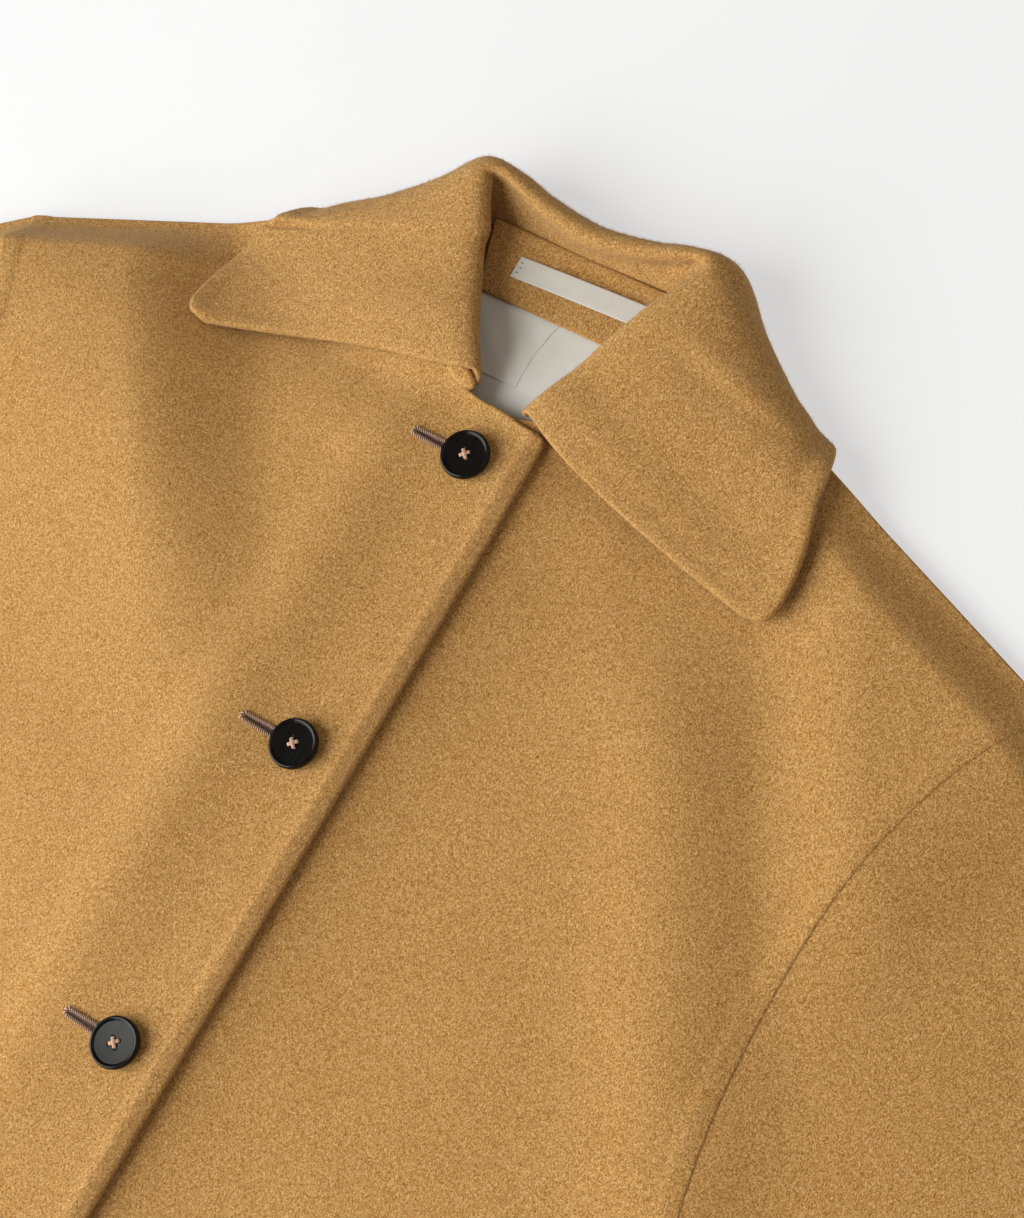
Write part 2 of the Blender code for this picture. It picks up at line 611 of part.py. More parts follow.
def grid(left, right, low, high, cells_x, cells_y):
    """Plan grid with sloping sides; left and right are given at the low and the high end."""
    v = np.linspace(0, 1, cells_y + 1)[None, :]
    u = np.linspace(0, 1, cells_x + 1)[:, None]
    x0 = left[0] + (left[1] - left[0]) * v
    x1 = right[0] + (right[1] - right[0]) * v
    return x0 + (x1 - x0) * u, (low + (high - low) * v) * np.ones_like(u)


def neck_inside():
    """Lining, back neck facing and hanger tape."""
    over_body = LAYER_GAP
    over_yoke = over_body + LINING_WALL + SEAM_GAP
    over_lap = over_yoke + LINING_WALL + SEAM_GAP
    over_facing = over_lap + LINING_WALL + SEAM_GAP
    over_tape = over_facing + FACING_WALL + SEAM_GAP
    yoke_top = FACING_LOW_Y + YOKE_UNDER
    neck_y = float(neck_edge([len(ALL_ROWS) - 1])[0][1])
    far, near = LINING_RIGHT[0], LINING_LEFT[0]
    x, y = grid((-far, -far), (near, near), LINING_LOW_Y, YOKE_LOW_Y + YOKE_UNDER, 4, 6)
    cloth("lining_body", inside(x, y, over_body), LINING_WALL, SATIN, rim=THIN_ROUND, rim_steps=1)
    lap = (PLEAT_LOW_X - PLEAT_OVER, PLEAT_TOP_X - PLEAT_OVER)
    x, y = grid(lap, LINING_LEFT, YOKE_LOW_Y, yoke_top, 5, 5)
    cloth("lining_yoke_left", inside(x, y, over_yoke), LINING_WALL, SATIN, rim=THIN_ROUND, rim_steps=1)
    x, y = grid((-LINING_RIGHT[0], -LINING_RIGHT[1]), (PLEAT_LOW_X, PLEAT_TOP_X), YOKE_LOW_Y, yoke_top, 6, 5)
    cloth("lining_yoke_right", inside(x, y, over_lap), LINING_WALL, SATIN, rim=THIN_ROUND, rim_steps=1)
    low, top = FACING_HALF_LOW, FACING_HALF_TOP
    x, y = grid((-low, -top), (low, top), FACING_LOW_Y, neck_y, 10, 4)
    cloth("back_neck_facing", inside(x, y, over_facing), FACING_WALL, WOOL)
    half = TAPE_WIDE / 2
    x, y = grid((TAPE_LEFT, TAPE_LEFT), (TAPE_RIGHT, TAPE_RIGHT), TAPE_Y - half, TAPE_Y + half, 8, 2)
    cloth("hanger_tape", inside(x, y + TAPE_TURN * x, over_tape), TAPE_WALL, TAPE,
          rim=THIN_ROUND, rim_steps=1)


# Buttons
def button(name, y):
    """Four-hole button with a raised rim, lying on the right front."""
    wide = max(r for r, z in BUTTON_LINE)
    reach = np.linspace(-wide, wide, BUTTON_FEEL)
    gx, gy = np.meshgrid(reach, reach + y)
    top = under_of(-1.0, gx, gy) + edge_thickness(-1.0, gx, gy)
    place = (0.0, y, float(top.max()) + BUTTON_REST)
    mesh = bpy.data.meshes.new(name)
    mesh.from_pydata([(r, 0.0, z) for r, z in BUTTON_LINE],
                     [(k, k + 1) for k in range(len(BUTTON_LINE) - 1)], [])
    obj = bpy.data.objects.new(name, mesh)
    obj.location = place
    PARTS.objects.link(obj)
    turn = obj.modifiers.new("turned", "SCREW")
    turn.steps = BUTTON_STEPS
    turn.render_steps = BUTTON_STEPS
    turn.use_merge_vertices = True
    turn.merge_threshold = BUTTON_MERGE
    turn.use_normal_calculate = True
    turn.use_smooth_shade = True
    bm = bmesh.new()
    for sx in (-1, 1):
        for sy in (-1, 1):
            made = bmesh.ops.create_cone(bm, cap_ends=True, segments=HOLE_STEPS, radius1=HOLE_R,
                                         radius2=HOLE_R, depth=DRILL_LONG)
            bmesh.ops.translate(bm, verts=made["verts"], vec=(sx * HOLE_OFF, sy * HOLE_OFF, 0.0))
    drill_mesh = bpy.data.meshes.new(name + "_drill")
    bm.to_mesh(drill_mesh)
    bm.free()
    drill = bpy.data.objects.new(name + "_drill", drill_mesh)
    drill.location = place
    drill.hide_render = True
    drill.display_type = "WIRE"
    CUTTERS.objects.link(drill)
    bore = obj.modifiers.new("holes", "BOOLEAN")
    bore.operation = "DIFFERENCE"
    bore.solver = "EXACT"
    bore.object = drill
    mesh.materials.append(plain_material(name, BLACK))
    return obj


back()
front("front_left", 1.0)
front("front_right", -1.0)
for half_side, word in ((1.0, "left"), (-1.0, "right")):
    sleeve("under_sleeve_" + word, half_side, False)
    sleeve("top_sleeve_" + word, half_side, True)
collar()
neck_inside()
for number in range(BUTTON_COUNT):
    button("button_%d" % (number + 1), -BUTTON_PITCH * number)

# The whole coat hangs on one empty, placed so that the middle of its footprint is the origin
bpy.context.view_layer.update()
depsgraph = bpy.context.evaluated_depsgraph_get()
boxes = []
for obj in PARTS.objects:
    boxes += [obj.matrix_world @ Vector(corner) for corner in obj.evaluated_get(depsgraph).bound_box]
boxes = np.array(boxes)
middle = (boxes.min(axis=0) + boxes.max(axis=0)) / 2
hanger = bpy.data.objects.new("coat_origin", None)
PARTS.objects.link(hanger)
for obj in list(PARTS.objects) + list(CUTTERS.objects):
    if obj is not hanger:
        obj.parent = hanger
hanger.location = (-middle[0], -middle[1], -boxes[:, 2].min())
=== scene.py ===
# %% [markdown]
# # A camel wool coat, laid flat
# The coat lies front up on a pale floor, buttoned, with its big collar folded down. A plain solid model of
# it is loaded first. Each cloth piece is then worked out again on a much finer grid, at the same place, and
# takes the solid's place in the picture.

# %% The solid model and its box
from math import cos, pi, radians, sin

import bmesh
import bpy
import numpy as np
from mathutils import Matrix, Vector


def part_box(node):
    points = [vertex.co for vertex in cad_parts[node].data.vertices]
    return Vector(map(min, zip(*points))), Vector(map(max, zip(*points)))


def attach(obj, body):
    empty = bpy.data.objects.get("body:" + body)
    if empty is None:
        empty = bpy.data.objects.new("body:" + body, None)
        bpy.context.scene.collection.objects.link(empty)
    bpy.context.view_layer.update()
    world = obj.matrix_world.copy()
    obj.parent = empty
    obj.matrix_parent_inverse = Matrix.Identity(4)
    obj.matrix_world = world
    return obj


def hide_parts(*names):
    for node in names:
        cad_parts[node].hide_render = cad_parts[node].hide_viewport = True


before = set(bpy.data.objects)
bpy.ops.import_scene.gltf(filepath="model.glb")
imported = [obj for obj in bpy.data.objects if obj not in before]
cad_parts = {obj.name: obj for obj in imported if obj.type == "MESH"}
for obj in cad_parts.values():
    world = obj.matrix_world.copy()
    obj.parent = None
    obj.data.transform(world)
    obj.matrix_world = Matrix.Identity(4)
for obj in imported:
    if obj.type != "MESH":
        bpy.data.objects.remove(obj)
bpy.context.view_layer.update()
TOP_BUTTON = np.array(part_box("button_1"))
HOME = TOP_BUTTON.mean(axis=0) * np.array([1.0, 1.0, 0.0])
print("solid nodes:", len(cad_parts), "top button at", HOME.round(4))

# %% [markdown]
# ## Curves that every piece needs
# A pattern cutter works with a few marked points and a flexible ruler. Three small functions do the same:
# one eases between two values, one runs through marked points, and one only leans towards them, as cloth
# does when it rolls over a fold.

# %% Curves


def smooth(low, high, value):
    """Ease from 0 at low to 1 at high: three times t squared less twice t cubed."""
    t = np.clip((value - low) / (high - low), 0.0, 1.0)
    return t * t * (3.0 - 2.0 * t)


def bump(value, place, wide):
    """Bell of height 1: e to the minus square of the distance over the half width."""
    return np.exp(-((value - place) / wide) ** 2)


def runs(start, *legs):
    """Evenly spaced places in several legs, each given by its end and its number of steps."""
    places = [np.array([start])]
    for end, count in legs:
        places.append(np.linspace(places[-1][-1], end, count + 1)[1:])
    return np.concatenate(places)


def through(rows, places):
    """Cubic through the rows at fractional row numbers, each slope half the step between neighbours."""
    rows = np.asarray(rows, dtype=float)
    last = len(rows) - 1
    padded = np.concatenate([2 * rows[:1] - rows[1:2], rows, 2 * rows[-1:] - rows[-2:-1]])
    cell = np.clip(np.floor(places).astype(int), 0, last - 1)
    t = (np.asarray(places) - cell).reshape(-1, *([1] * (rows.ndim - 1)))
    a, b, c, d = (padded[cell + k] for k in range(4))
    return 0.5 * (2 * b + (c - a) * t + (2 * a - 5 * b + 4 * c - d) * t ** 2
                  + (3 * b - a - 3 * c + d) * t ** 3)


def rounded(control, places):
    """Cubic B-spline that starts and ends on the control points and only leans towards those between."""
    knots = np.concatenate([np.zeros(3), np.linspace(0, 1, control.shape[0] - 2), np.ones(3)])
    t = np.clip(places, 0.0, 1.0 - 1e-9)[:, None]
    basis = ((t >= knots[None, :-1]) & (t < knots[None, 1:])).astype(float)
    for order in range(1, 4):
        wide = basis.shape[1] - 1
        lower = knots[order:order + wide] - knots[:wide]
        upper = knots[order + 1:order + 1 + wide] - knots[1:1 + wide]
        rise = (t - knots[:wide]) / np.where(lower > 0, lower, 1.0) * (lower > 0)
        fall = (knots[order + 1:order + 1 + wide] - t) / np.where(upper > 0, upper, 1.0) * (upper > 0)
        basis = rise * basis[:, :wide] + fall * basis[:, 1:wide + 1]
    return np.tensordot(basis, control, axes=(1, 0))


def bezier(points, t):
    """Cubic between two points with two pulls."""
    t = np.asarray(t)[:, None]
    p0, p1, p2, p3 = (np.array(p) for p in points)
    return (1 - t) ** 3 * p0 + 3 * (1 - t) ** 2 * t * p1 + 3 * (1 - t) * t ** 2 * p2 + t ** 3 * p3


def unit(vectors):
    """Each vector over its own length."""
    return vectors / np.linalg.norm(vectors, axis=-1, keepdims=True)


# %% [markdown]
# ## From grids to closed cloth
# Real cloth has two faces and an edge. A flat sheet with a Solidify modifier would do, but here both faces
# are known as grids, so they are joined directly: the top grid, the under grid, and a half-round rim that
# walks once round the border.

# %% Mesh helpers


def put_mesh(name, points, faces, material):
    """Object at the origin from points and a list of face arrays, shaded smooth, faces outward."""
    mesh = bpy.data.meshes.new(name)
    mesh.from_pydata((points + HOME).tolist(), [], [face for part in faces for face in part.tolist()])
    bm = bmesh.new()
    bm.from_mesh(mesh)
    bmesh.ops.recalc_face_normals(bm, faces=bm.faces[:])
    bm.to_mesh(mesh)
    bm.free()
    mesh.polygons.foreach_set("use_smooth", np.ones(len(mesh.polygons), dtype=bool))
    mesh.materials.append(material)
    obj = bpy.data.objects.new(name, mesh)
    bpy.context.scene.collection.objects.link(obj)
    return obj


def border(grid):
    """Walk once round a grid."""
    return np.concatenate([grid[:-1, 0], grid[-1, :-1], grid[:0:-1, -1], grid[0, :0:-1]])


def cells_of(index):
    """One four-sided face for each cell of a grid of point numbers."""
    return np.stack([index[:-1, :-1], index[1:, :-1], index[1:, 1:], index[:-1, 1:]], axis=-1).reshape(-1, 4)


def closed_sheet(name, top, under, material, bulge=1.0, rim_steps=6):
    """Two grids joined by a rim: middle + half wall x cosine + outward x half wall x bulge x sine."""
    n, m = top.shape[:2]
    index = np.arange(n * m).reshape(n, m)
    rows, cols = np.meshgrid(np.arange(n), np.arange(m), indexing="ij")
    inner = border(index[np.clip(rows, 1, n - 2), np.clip(cols, 1, m - 2)])
    loop = border(index)
    middle = ((top + under) / 2).reshape(-1, 3)
    half = ((top - under) / 2).reshape(-1, 3)[loop]
    edge = middle[loop]
    along = unit(np.roll(edge, -1, axis=0) - np.roll(edge, 1, axis=0))
    out = edge - middle[inner]
    for axis in (along, unit(half)):
        out = out - np.sum(out * axis, axis=1, keepdims=True) * axis
    out = unit(out) * np.linalg.norm(half, axis=1, keepdims=True) * bulge
    angles = (pi * np.arange(1, rim_steps) / rim_steps)[:, None, None]
    rings = edge + half * np.cos(angles) + out * np.sin(angles)
    points = np.concatenate([top.reshape(-1, 3), under.reshape(-1, 3), rings.reshape(-1, 3)])
    count = len(loop)
    loops = np.concatenate([loop[None], 2 * n * m + np.arange((rim_steps - 1) * count).reshape(-1, count),
                            loop[None] + n * m])
    loops = np.concatenate([loops, loops[:, :1]], axis=1).T
    cells = cells_of(index)
    return put_mesh(name, points, [cells, cells[:, ::-1] + n * m, cells_of(loops)], material)


def tube(path, across, radius, sides, twist=0.0, ridges=0.0):
    """Points and faces of a round cord along a path: centre + radius x (across x cosine + lift x sine).

    across is a unit vector that is never along the path; ridges is how far two twisted strands stand out,
    and twist is the number of turns that they make."""
    steps = len(path)
    ahead = unit(np.gradient(path, axis=0))
    side = unit(np.cross(across, ahead))
    lift = np.cross(ahead, side)
    angle = 2 * pi * np.arange(sides) / sides
    turn = 2 * pi * twist * np.linspace(0, 1, steps)[:, None]
    size = np.broadcast_to(radius, (steps,))[:, None] * (1 + ridges * np.cos(2 * (angle - turn)))
    ring = side[:, None] * np.cos(angle)[:, None] + lift[:, None] * np.sin(angle)[:, None]
    points = (path[:, None] + ring * size[..., None]).reshape(-1, 3)
    index = np.arange(steps * sides).reshape(steps, sides)
    wrap = np.concatenate([index, index[:, :1]], axis=1)
    return points, [cells_of(wrap), index[:1], index[-1:, ::-1]]


def joined(parts):
    """One list of points and faces from several."""
    points, faces, start = [], [], 0
    for some, groups in parts:
        points.append(some)
        faces += [group + start for group in groups]
        start += len(some)
    return np.concatenate(points), faces


def ringed(rings):
    """Points and faces of a closed form: a point, equal rings one after another, and a point."""
    points = np.concatenate(rings)
    here = np.arange(len(rings[1]))
    after = np.roll(here, -1)
    starts = 1 + len(here) * np.arange(len(rings) - 2)
    caps = [np.stack([0 * here, 1 + after, 1 + here], axis=-1),
            np.stack([starts[-1] + here, starts[-1] + after, 0 * here + len(points) - 1], axis=-1)]
    bands = [np.stack([one + here, one + after, two + after, two + here], axis=-1)
             for one, two in zip(starts[:-1], starts[1:])]
    return points, caps + bands


def half_area(obj):
    """Half the surface of a closed cloth, which is the area of its cut."""
    areas = np.zeros(len(obj.data.polygons))
    obj.data.polygons.foreach_get("area", areas)
    return float(areas.sum() / 2)


def cloth_piece(obj, node, flat):
    """Put a cloth piece under the root, hide the solid node that it replaces, and print its cut and area."""
    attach(obj, "root")
    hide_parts(node)
    area = half_area(obj)
    flat = (float(flat[0]), max(float(flat[1]), area / float(flat[0]) * 1.001))
    print(obj.name, "cut %.3f x %.3f m, %.4f square metres" % (*flat, area), len(obj.data.polygons), "faces")


# %% [markdown]
# ## Finishes
# Brushed wool is woven, felted and combed, so its face is a mat of short curly hairs that catch light from
# every side. A real mat of hair would be millions of fibres. Instead, stretched noise gives strokes of hair
# in two directions, a third noise picks between them, and the same strokes tint the colour and raise the
# surface. Sheen on the shader stands for the loose hairs that light up at a grazing angle.

# %% Node helpers


class Finish:
    """A Principled material with a short way to add and link nodes."""

    def __init__(self, name):
        self.material = bpy.data.materials.new(name)
        self.material.use_nodes = True
        self.tree = self.material.node_tree
        self.shader = self.tree.nodes["Principled BSDF"]
        self.place = self.add("ShaderNodeTexCoord").outputs["Object"]

    def add(self, kind, links=None, **values):
        """New node; values set its properties, links feed its sockets or set them."""
        node = self.tree.nodes.new(kind)
        for key, value in values.items():
            setattr(node, key, value)
        for key, source in (links or {}).items():
            if hasattr(source, "is_linked"):
                self.tree.links.new(source, node.inputs[key])
            else:
                node.inputs[key].default_value = source
        return node

    def noise(self, scale, detail=2.0, rough=0.5, vector=None):
        """Noise whose features are about one over scale metres wide."""
        node = self.add("ShaderNodeTexNoise", {"Vector": vector or self.place, "Scale": scale,
                                               "Detail": detail, "Roughness": rough})
        return node.outputs["Fac"]

    def math(self, operation, a, b=0.0):
        """One step of arithmetic on two values."""
        return self.add("ShaderNodeMath", {0: a, 1: b}, operation=operation).outputs[0]

    def blend(self, share, a, b):
        """Blend of two colours by a share."""
        node = self.add("ShaderNodeMix", data_type="RGBA", blend_type="MIX")
        for socket, value in zip((node.inputs["Factor"], node.inputs[6], node.inputs[7]), (share, a, b)):
            if hasattr(value, "is_linked"):
                self.tree.links.new(value, socket)
            else:
                socket.default_value = value
        return node.outputs[2]

    def spread(self, value, low, high, to_low=0.0, to_high=1.0):
        """Stretch a value from one span to another, held at the ends."""
        return self.add("ShaderNodeMapRange", {"Value": value, "From Min": low, "From Max": high,
                                               "To Min": to_low, "To Max": to_high}).outputs[0]

    def ramp(self, value, stops):
        """Colours along a value."""
        node = self.add("ShaderNodeValToRGB", {"Fac": value})
        line = node.color_ramp
        while len(line.elements) < len(stops):
            line.elements.new(0.5)
        for element, (place, colour) in zip(line.elements, stops):
            element.position = place
            element.color = (*colour, 1.0)
        return node.outputs["Color"]

    def turned(self, vector, degrees, scale):
        """Coordinates turned about Z and stretched."""
        node = self.add("ShaderNodeMapping", {"Vector": vector})
        node.inputs["Rotation"].default_value = (0.0, 0.0, radians(degrees))
        node.inputs["Scale"].default_value = scale
        return node.outputs["Vector"]

    def bumped(self, height, strength, distance):
        """Surface raised by a height from 0 to 1."""
        node = self.add("ShaderNodeBump", {"Height": height, "Strength": strength, "Distance": distance})
        self.tree.links.new(node.outputs["Normal"], self.shader.inputs["Normal"])

    def set(self, **values):
        """Values on the shader's own sockets, or links to them."""
        for key, value in values.items():
            socket = self.shader.inputs[key.replace("_", " ")]
            if hasattr(value, "is_linked"):
                self.tree.links.new(value, socket)
            else:
                socket.default_value = value


# %% Brushed wool
NAP_DARK = (0.262, 0.116, 0.022)
NAP_LOW = (0.405, 0.206, 0.053)
NAP_MID = (0.505, 0.280, 0.088)
NAP_LIGHT = (0.690, 0.428, 0.172)
NAP_SHEEN = (1.0, 0.86, 0.62, 1.0)
# Hairs: noise scale, turn of the two strokes, stretch along a hair; curl: noise scale, reach
HAIR_SCALE, HAIR_TURNS, HAIR_STRETCH = 2700.0, (28.0, -52.0), (1.0, 0.32, 1.0)
CURL_SCALE, CURL_REACH = 700.0, 0.0022


def brushed_wool(name, shade=1.0, raised=1.0):
    """Mottled strokes of hair: two stretched noises, picked by a third, over a slow drift of tone."""
    wool = Finish(name)
    wander = wool.add("ShaderNodeTexNoise", {"Vector": wool.place, "Scale": CURL_SCALE, "Detail": 1.0})
    shift = wool.add("ShaderNodeVectorMath", {0: wander.outputs["Color"], 1: (0.5, 0.5, 0.5)},
                     operation="SUBTRACT")
    small = wool.add("ShaderNodeVectorMath", {0: shift.outputs[0]}, operation="SCALE")
    small.inputs["Scale"].default_value = CURL_REACH
    curled = wool.add("ShaderNodeVectorMath", {0: wool.place, 1: small.outputs[0]},
                      operation="ADD").outputs[0]
    one, two = (wool.noise(HAIR_SCALE, 2.0, 0.55, wool.turned(curled, turn, HAIR_STRETCH))
                for turn in HAIR_TURNS)
    pick = wool.spread(wool.noise(420.0, 1.0), 0.46, 0.54)
    strokes = wool.blend(pick, one, two)
    clumps = wool.noise(760.0, 2.0, 0.6)
    drift = wool.noise(16.0, 2.0)
    height = wool.math("ADD", wool.math("MULTIPLY", strokes, 0.82), wool.math("MULTIPLY", clumps, 0.18))
    tone = wool.math("ADD", wool.spread(height, 0.425, 0.575),
                     wool.spread(drift, 0.3, 0.7, -0.03, 0.03))
    # A shade below 1 darkens every colour: painted shade for a copy of the wool that lies in shadow.
    stops = [(place, [shade * part for part in colour]) for place, colour in
             ((0.0, NAP_DARK), (0.33, NAP_LOW), (0.62, NAP_MID), (1.0, NAP_LIGHT))]
    wool.set(Base_Color=wool.ramp(tone, stops), Roughness=0.92, Specular_IOR_Level=0.15,
             Sheen_Weight=0.15, Sheen_Roughness=0.45, Sheen_Tint=NAP_SHEEN)
    wool.bumped(height, 0.75 * raised, 0.0008)
    return wool.material


WOOL = brushed_wool("brushed_wool")
# Copy of the wool with every colour darkened to 0.92 and a lower bump: painted shade for the facing inside
# the neck.
WOOL_PAINTED_SHADE = brushed_wool("brushed_wool_painted_shade", shade=0.92, raised=0.7)

# %% Satin, tape, button and thread


def satin_lining():
    """Smooth satin: a soft gloss, with a very fine ribbed weave and a slow drift of tone."""
    satin = Finish("satin_lining")
    rib = satin.add("ShaderNodeTexWave", {"Vector": satin.turned(satin.place, 38.0, (1.0, 1.0, 1.0)),
                                          "Scale": 700.0, "Distortion": 1.0, "Detail": 1.0})
    tone = satin.math("ADD", satin.math("MULTIPLY", rib.outputs["Fac"], 0.12), satin.noise(45.0, 2.0))
    satin.set(Base_Color=satin.ramp(tone, ((0.25, (0.61, 0.60, 0.56)), (0.85, (0.70, 0.69, 0.65)))),
              Roughness=0.38, Sheen_Weight=0.15, Anisotropic=0.3)
    satin.bumped(rib.outputs["Fac"], 0.10, 0.0002)
    return satin.material


def woven_tape():
    """Matt tape with a fine cross weave: the product of two waves at right angles."""
    tape = Finish("woven_tape")
    weft = tape.add("ShaderNodeTexWave", {"Vector": tape.place, "Scale": 620.0, "Distortion": 0.4})
    warp = tape.add("ShaderNodeTexWave", {"Vector": tape.turned(tape.place, 90.0, (1.0, 1.0, 1.0)),
                                          "Scale": 620.0, "Distortion": 0.4})
    weave = tape.math("MULTIPLY", weft.outputs["Fac"], warp.outputs["Fac"])
    tone = tape.math("ADD", tape.math("MULTIPLY", weave, 0.5), tape.math("MULTIPLY", tape.noise(90.0), 0.5))
    tape.set(Base_Color=tape.ramp(tone, ((0.1, (0.52, 0.505, 0.45)), (0.7, (0.64, 0.625, 0.57)))),
             Roughness=0.7)
    tape.bumped(weave, 0.3, 0.0002)
    return tape.material


def black_button():
    """Polished black with faint wear marks in the gloss and, slightly, in the tone."""
    black = Finish("black_button")
    marks = black.noise(900.0, 2.0, 0.6, black.turned(black.place, 20.0, (1.0, 0.05, 1.0)))
    stops = ((0.3, (0.0025, 0.0027, 0.0023)), (0.8, (0.0060, 0.0058, 0.0052)))
    black.set(Base_Color=black.ramp(marks, stops),
              Roughness=black.spread(marks, 0.3, 0.75, 0.10, 0.20), Specular_IOR_Level=0.22)
    return black.material


def sewing_thread(name, dark, light, scale):
    """Thread mottled by a fine noise, from a darker to a lighter tone."""
    thread = Finish(name)
    ply = thread.noise(scale, 2.0, 0.6)
    thread.set(Base_Color=thread.ramp(ply, ((0.35, dark), (0.68, light))), Roughness=0.6, Sheen_Weight=0.2)
    thread.bumped(ply, 0.4, 0.0003)
    return thread.material


def buttonhole_twist():
    """Brown silk twist, with painted shade between the strands and a painted highlight on their crowns."""
    twist = Finish("brown_buttonhole_twist_painted_shade")
    # ply is each point's stand-out from the cord's middle; it paints shade in the grooves and a highlight on
    # the crowns.
    crown = twist.add("ShaderNodeAttribute", attribute_name="ply").outputs["Fac"]
    tone = twist.math("ADD", twist.math("MULTIPLY", crown, 0.7),
                      twist.math("MULTIPLY", twist.noise(1800.0), 0.3))
    twist.set(Base_Color=twist.ramp(tone, ((0.25, (0.070, 0.022, 0.011)), (0.55, (0.200, 0.085, 0.042)),
                                           (0.80, (0.620, 0.420, 0.270)))), Roughness=0.55, Sheen_Weight=0.2)
    return twist.material


SATIN = satin_lining()
TAPE = woven_tape()
BLACK = black_button()
BROWN_CORD_PAINTED_SHADE = buttonhole_twist()
TAN_THREAD = sewing_thread("tan_button_thread", (0.40, 0.22, 0.13), (0.68, 0.44, 0.29), 2500.0)
BLACK_THREAD = sewing_thread("black_stitch_thread", (0.010, 0.009, 0.008), (0.040, 0.036, 0.032), 2500.0)
STRAY_WOOL = sewing_thread("stray_wool", (0.46, 0.27, 0.10), (0.70, 0.45, 0.20), 900.0)
# Near-black finish for the buttonhole slits: painted shade where the cut would go into the cloth.
SLIT_PAINTED_SHADE = sewing_thread("painted_shade_slit", (0.030, 0.011, 0.006), (0.095, 0.038, 0.021), 900.0)
print("finishes:", len(bpy.data.materials))

# %% [markdown]
# ## How the layers lie
# Laid flat, a coat is a stack: back, lining, the wearer's left front, then the right front over it. Each
# layer's height is a function of the place in plan, measured from the top button: the floor, plus what lies
# below, plus the soft rolls that the cloth keeps.

# %% Sizes of the stack
WALL = 0.0030
LAYER_GAP = 0.0010
FRONT_GAP = 0.0014
SEAM_GAP = 0.0003
EDGE_EXTRA, EDGE_BAND, EDGE_FULL = 0.0015, 0.013, 0.002
EDGE_X, EDGE_TOP_Y = 0.0285, 0.0225
HEM_Y, HEM_HALF, HEM_RISE = -0.840, 0.375, 0.018
SHOULDER_TIP, UNDERARM = (0.300, 0.015), (0.295, -0.335)
ARM_PULLS = ((0.230, -0.082), (0.246, -0.248))
LIFT, LIFT_RUN, LIFT_RUN_X, LIFT_KEEP = 0.0072, 0.045, 0.080, 0.004
TUCK_Y, TUCK_RISE, TUCK_HALF = 0.057, 0.018, 0.158
LINING_ONE, LINING_TWO = 0.0018, 0.0016
STEP_FROM, STEP_TO = -0.075, -0.034
ARM_FADE, SIDE_FADE, SHOULDER_FADE = 0.070, 0.035, 0.030
# Soft roll down the left front: place at the top button's height, lean along Y, half width, height, run in Y
ROLL_AT, ROLL_LEAN, ROLL_WIDE, ROLL_HIGH, ROLL_FADE = 0.113, -0.585, 0.042, 0.0078, 0.090
# Rise of each front to its armhole, left and right: foot at the top button's height, lean, run, height, and
# the two heights in Y between which it dies away
ARM_RISE = ((0.152, -0.585, 0.065, 0.0105, -0.335, -0.265), (0.121, 0.69, 0.090, 0.0225, -0.210, -0.030))
# Swell of the right front below the collar: height, its run in X, then in Y above and below
SWELL_HIGH, SWELL_X, SWELL_TOP, SWELL_LOW = 0.0085, (0.0, 0.060), (0.046, -0.022), (-0.450, -0.200)
# Turned facings under the button line: height, half width where they are full and where they end on the left
# and on the right, fall on the left
BULK_HIGH, BULK_FULL, BULK_END, BULK_FAR, BULK_POWER = 0.0080, 0.022, 0.116, 0.180, 3.0
# Seam allowance inside the armhole seam: width of the band, softness of its step, height
ARM_BAND, ARM_STEP, ARM_HIGH = 0.0090, 0.0028, 0.0008
# Where the fronts lie over one lining layer and over two, in Y, and where the lining ends, in X
LINING_ONE_Y, LINING_TWO_Y, LINING_END_X = (-0.035, 0.0), (0.015, 0.040), (0.105, 0.075)

# %% Collar tables
# Lying rows: neck seam x y, fold x y z, outer edge x y
LYING = (
    (0.0145, 0.0315, 0.0150, 0.0335, 0.0190, 0.1620, -0.0020),
    (0.0320, 0.0380, 0.0215, 0.0470, 0.0235, 0.1720, 0.0020),
    (0.0490, 0.0500, 0.0295, 0.0630, 0.0280, 0.1735, 0.0200),
    (0.0620, 0.0660, 0.0375, 0.0800, 0.0320, 0.1710, 0.0380),
    (0.0700, 0.0810, 0.0455, 0.0960, 0.0350, 0.1660, 0.0570),
)
# Tucked rows: neck seam x y, fold x y z, turn x y z, outer edge x y z, then the brow between fold and turn:
# its share of the way in plan and of the drop
TUCKED = (
    (0.0730, 0.0885, 0.0495, 0.1035, 0.0362, 0.1455, 0.0735, 0.0215, 0.1590, 0.0690, 0.0207, 0.62, 0.50),
    (0.0760, 0.0970, 0.0545, 0.1120, 0.0368, 0.1405, 0.0862, 0.0150, 0.1500, 0.0822, 0.0075, 0.68, 0.50),
    (0.0775, 0.1040, 0.0595, 0.1210, 0.0372, 0.1270, 0.0955, 0.0095, 0.1320, 0.0700, 0.0029, 0.72, 0.48),
    (0.0745, 0.1090, 0.0620, 0.1290, 0.0372, 0.0995, 0.1160, 0.0085, 0.1080, 0.0620, 0.0029, 0.78, 0.46),
    (0.0640, 0.1118, 0.0565, 0.1322, 0.0362, 0.0740, 0.1380, 0.0085, 0.0810, 0.0595, 0.0029, 0.95, 0.30),
    (0.0485, 0.1128, 0.0440, 0.1290, 0.0340, 0.0500, 0.1378, 0.0085, 0.0580, 0.0585, 0.0029, 1.00, 0.28),
    (0.0300, 0.1132, 0.0280, 0.1242, 0.0318, 0.0310, 0.1334, 0.0082, 0.0370, 0.0578, 0.0029, 1.00, 0.28),
    (0.0000, 0.1135, 0.0000, 0.1203, 0.0303, 0.0000, 0.1300, 0.0080, 0.0000, 0.0575, 0.0029, 1.00, 0.28),
)
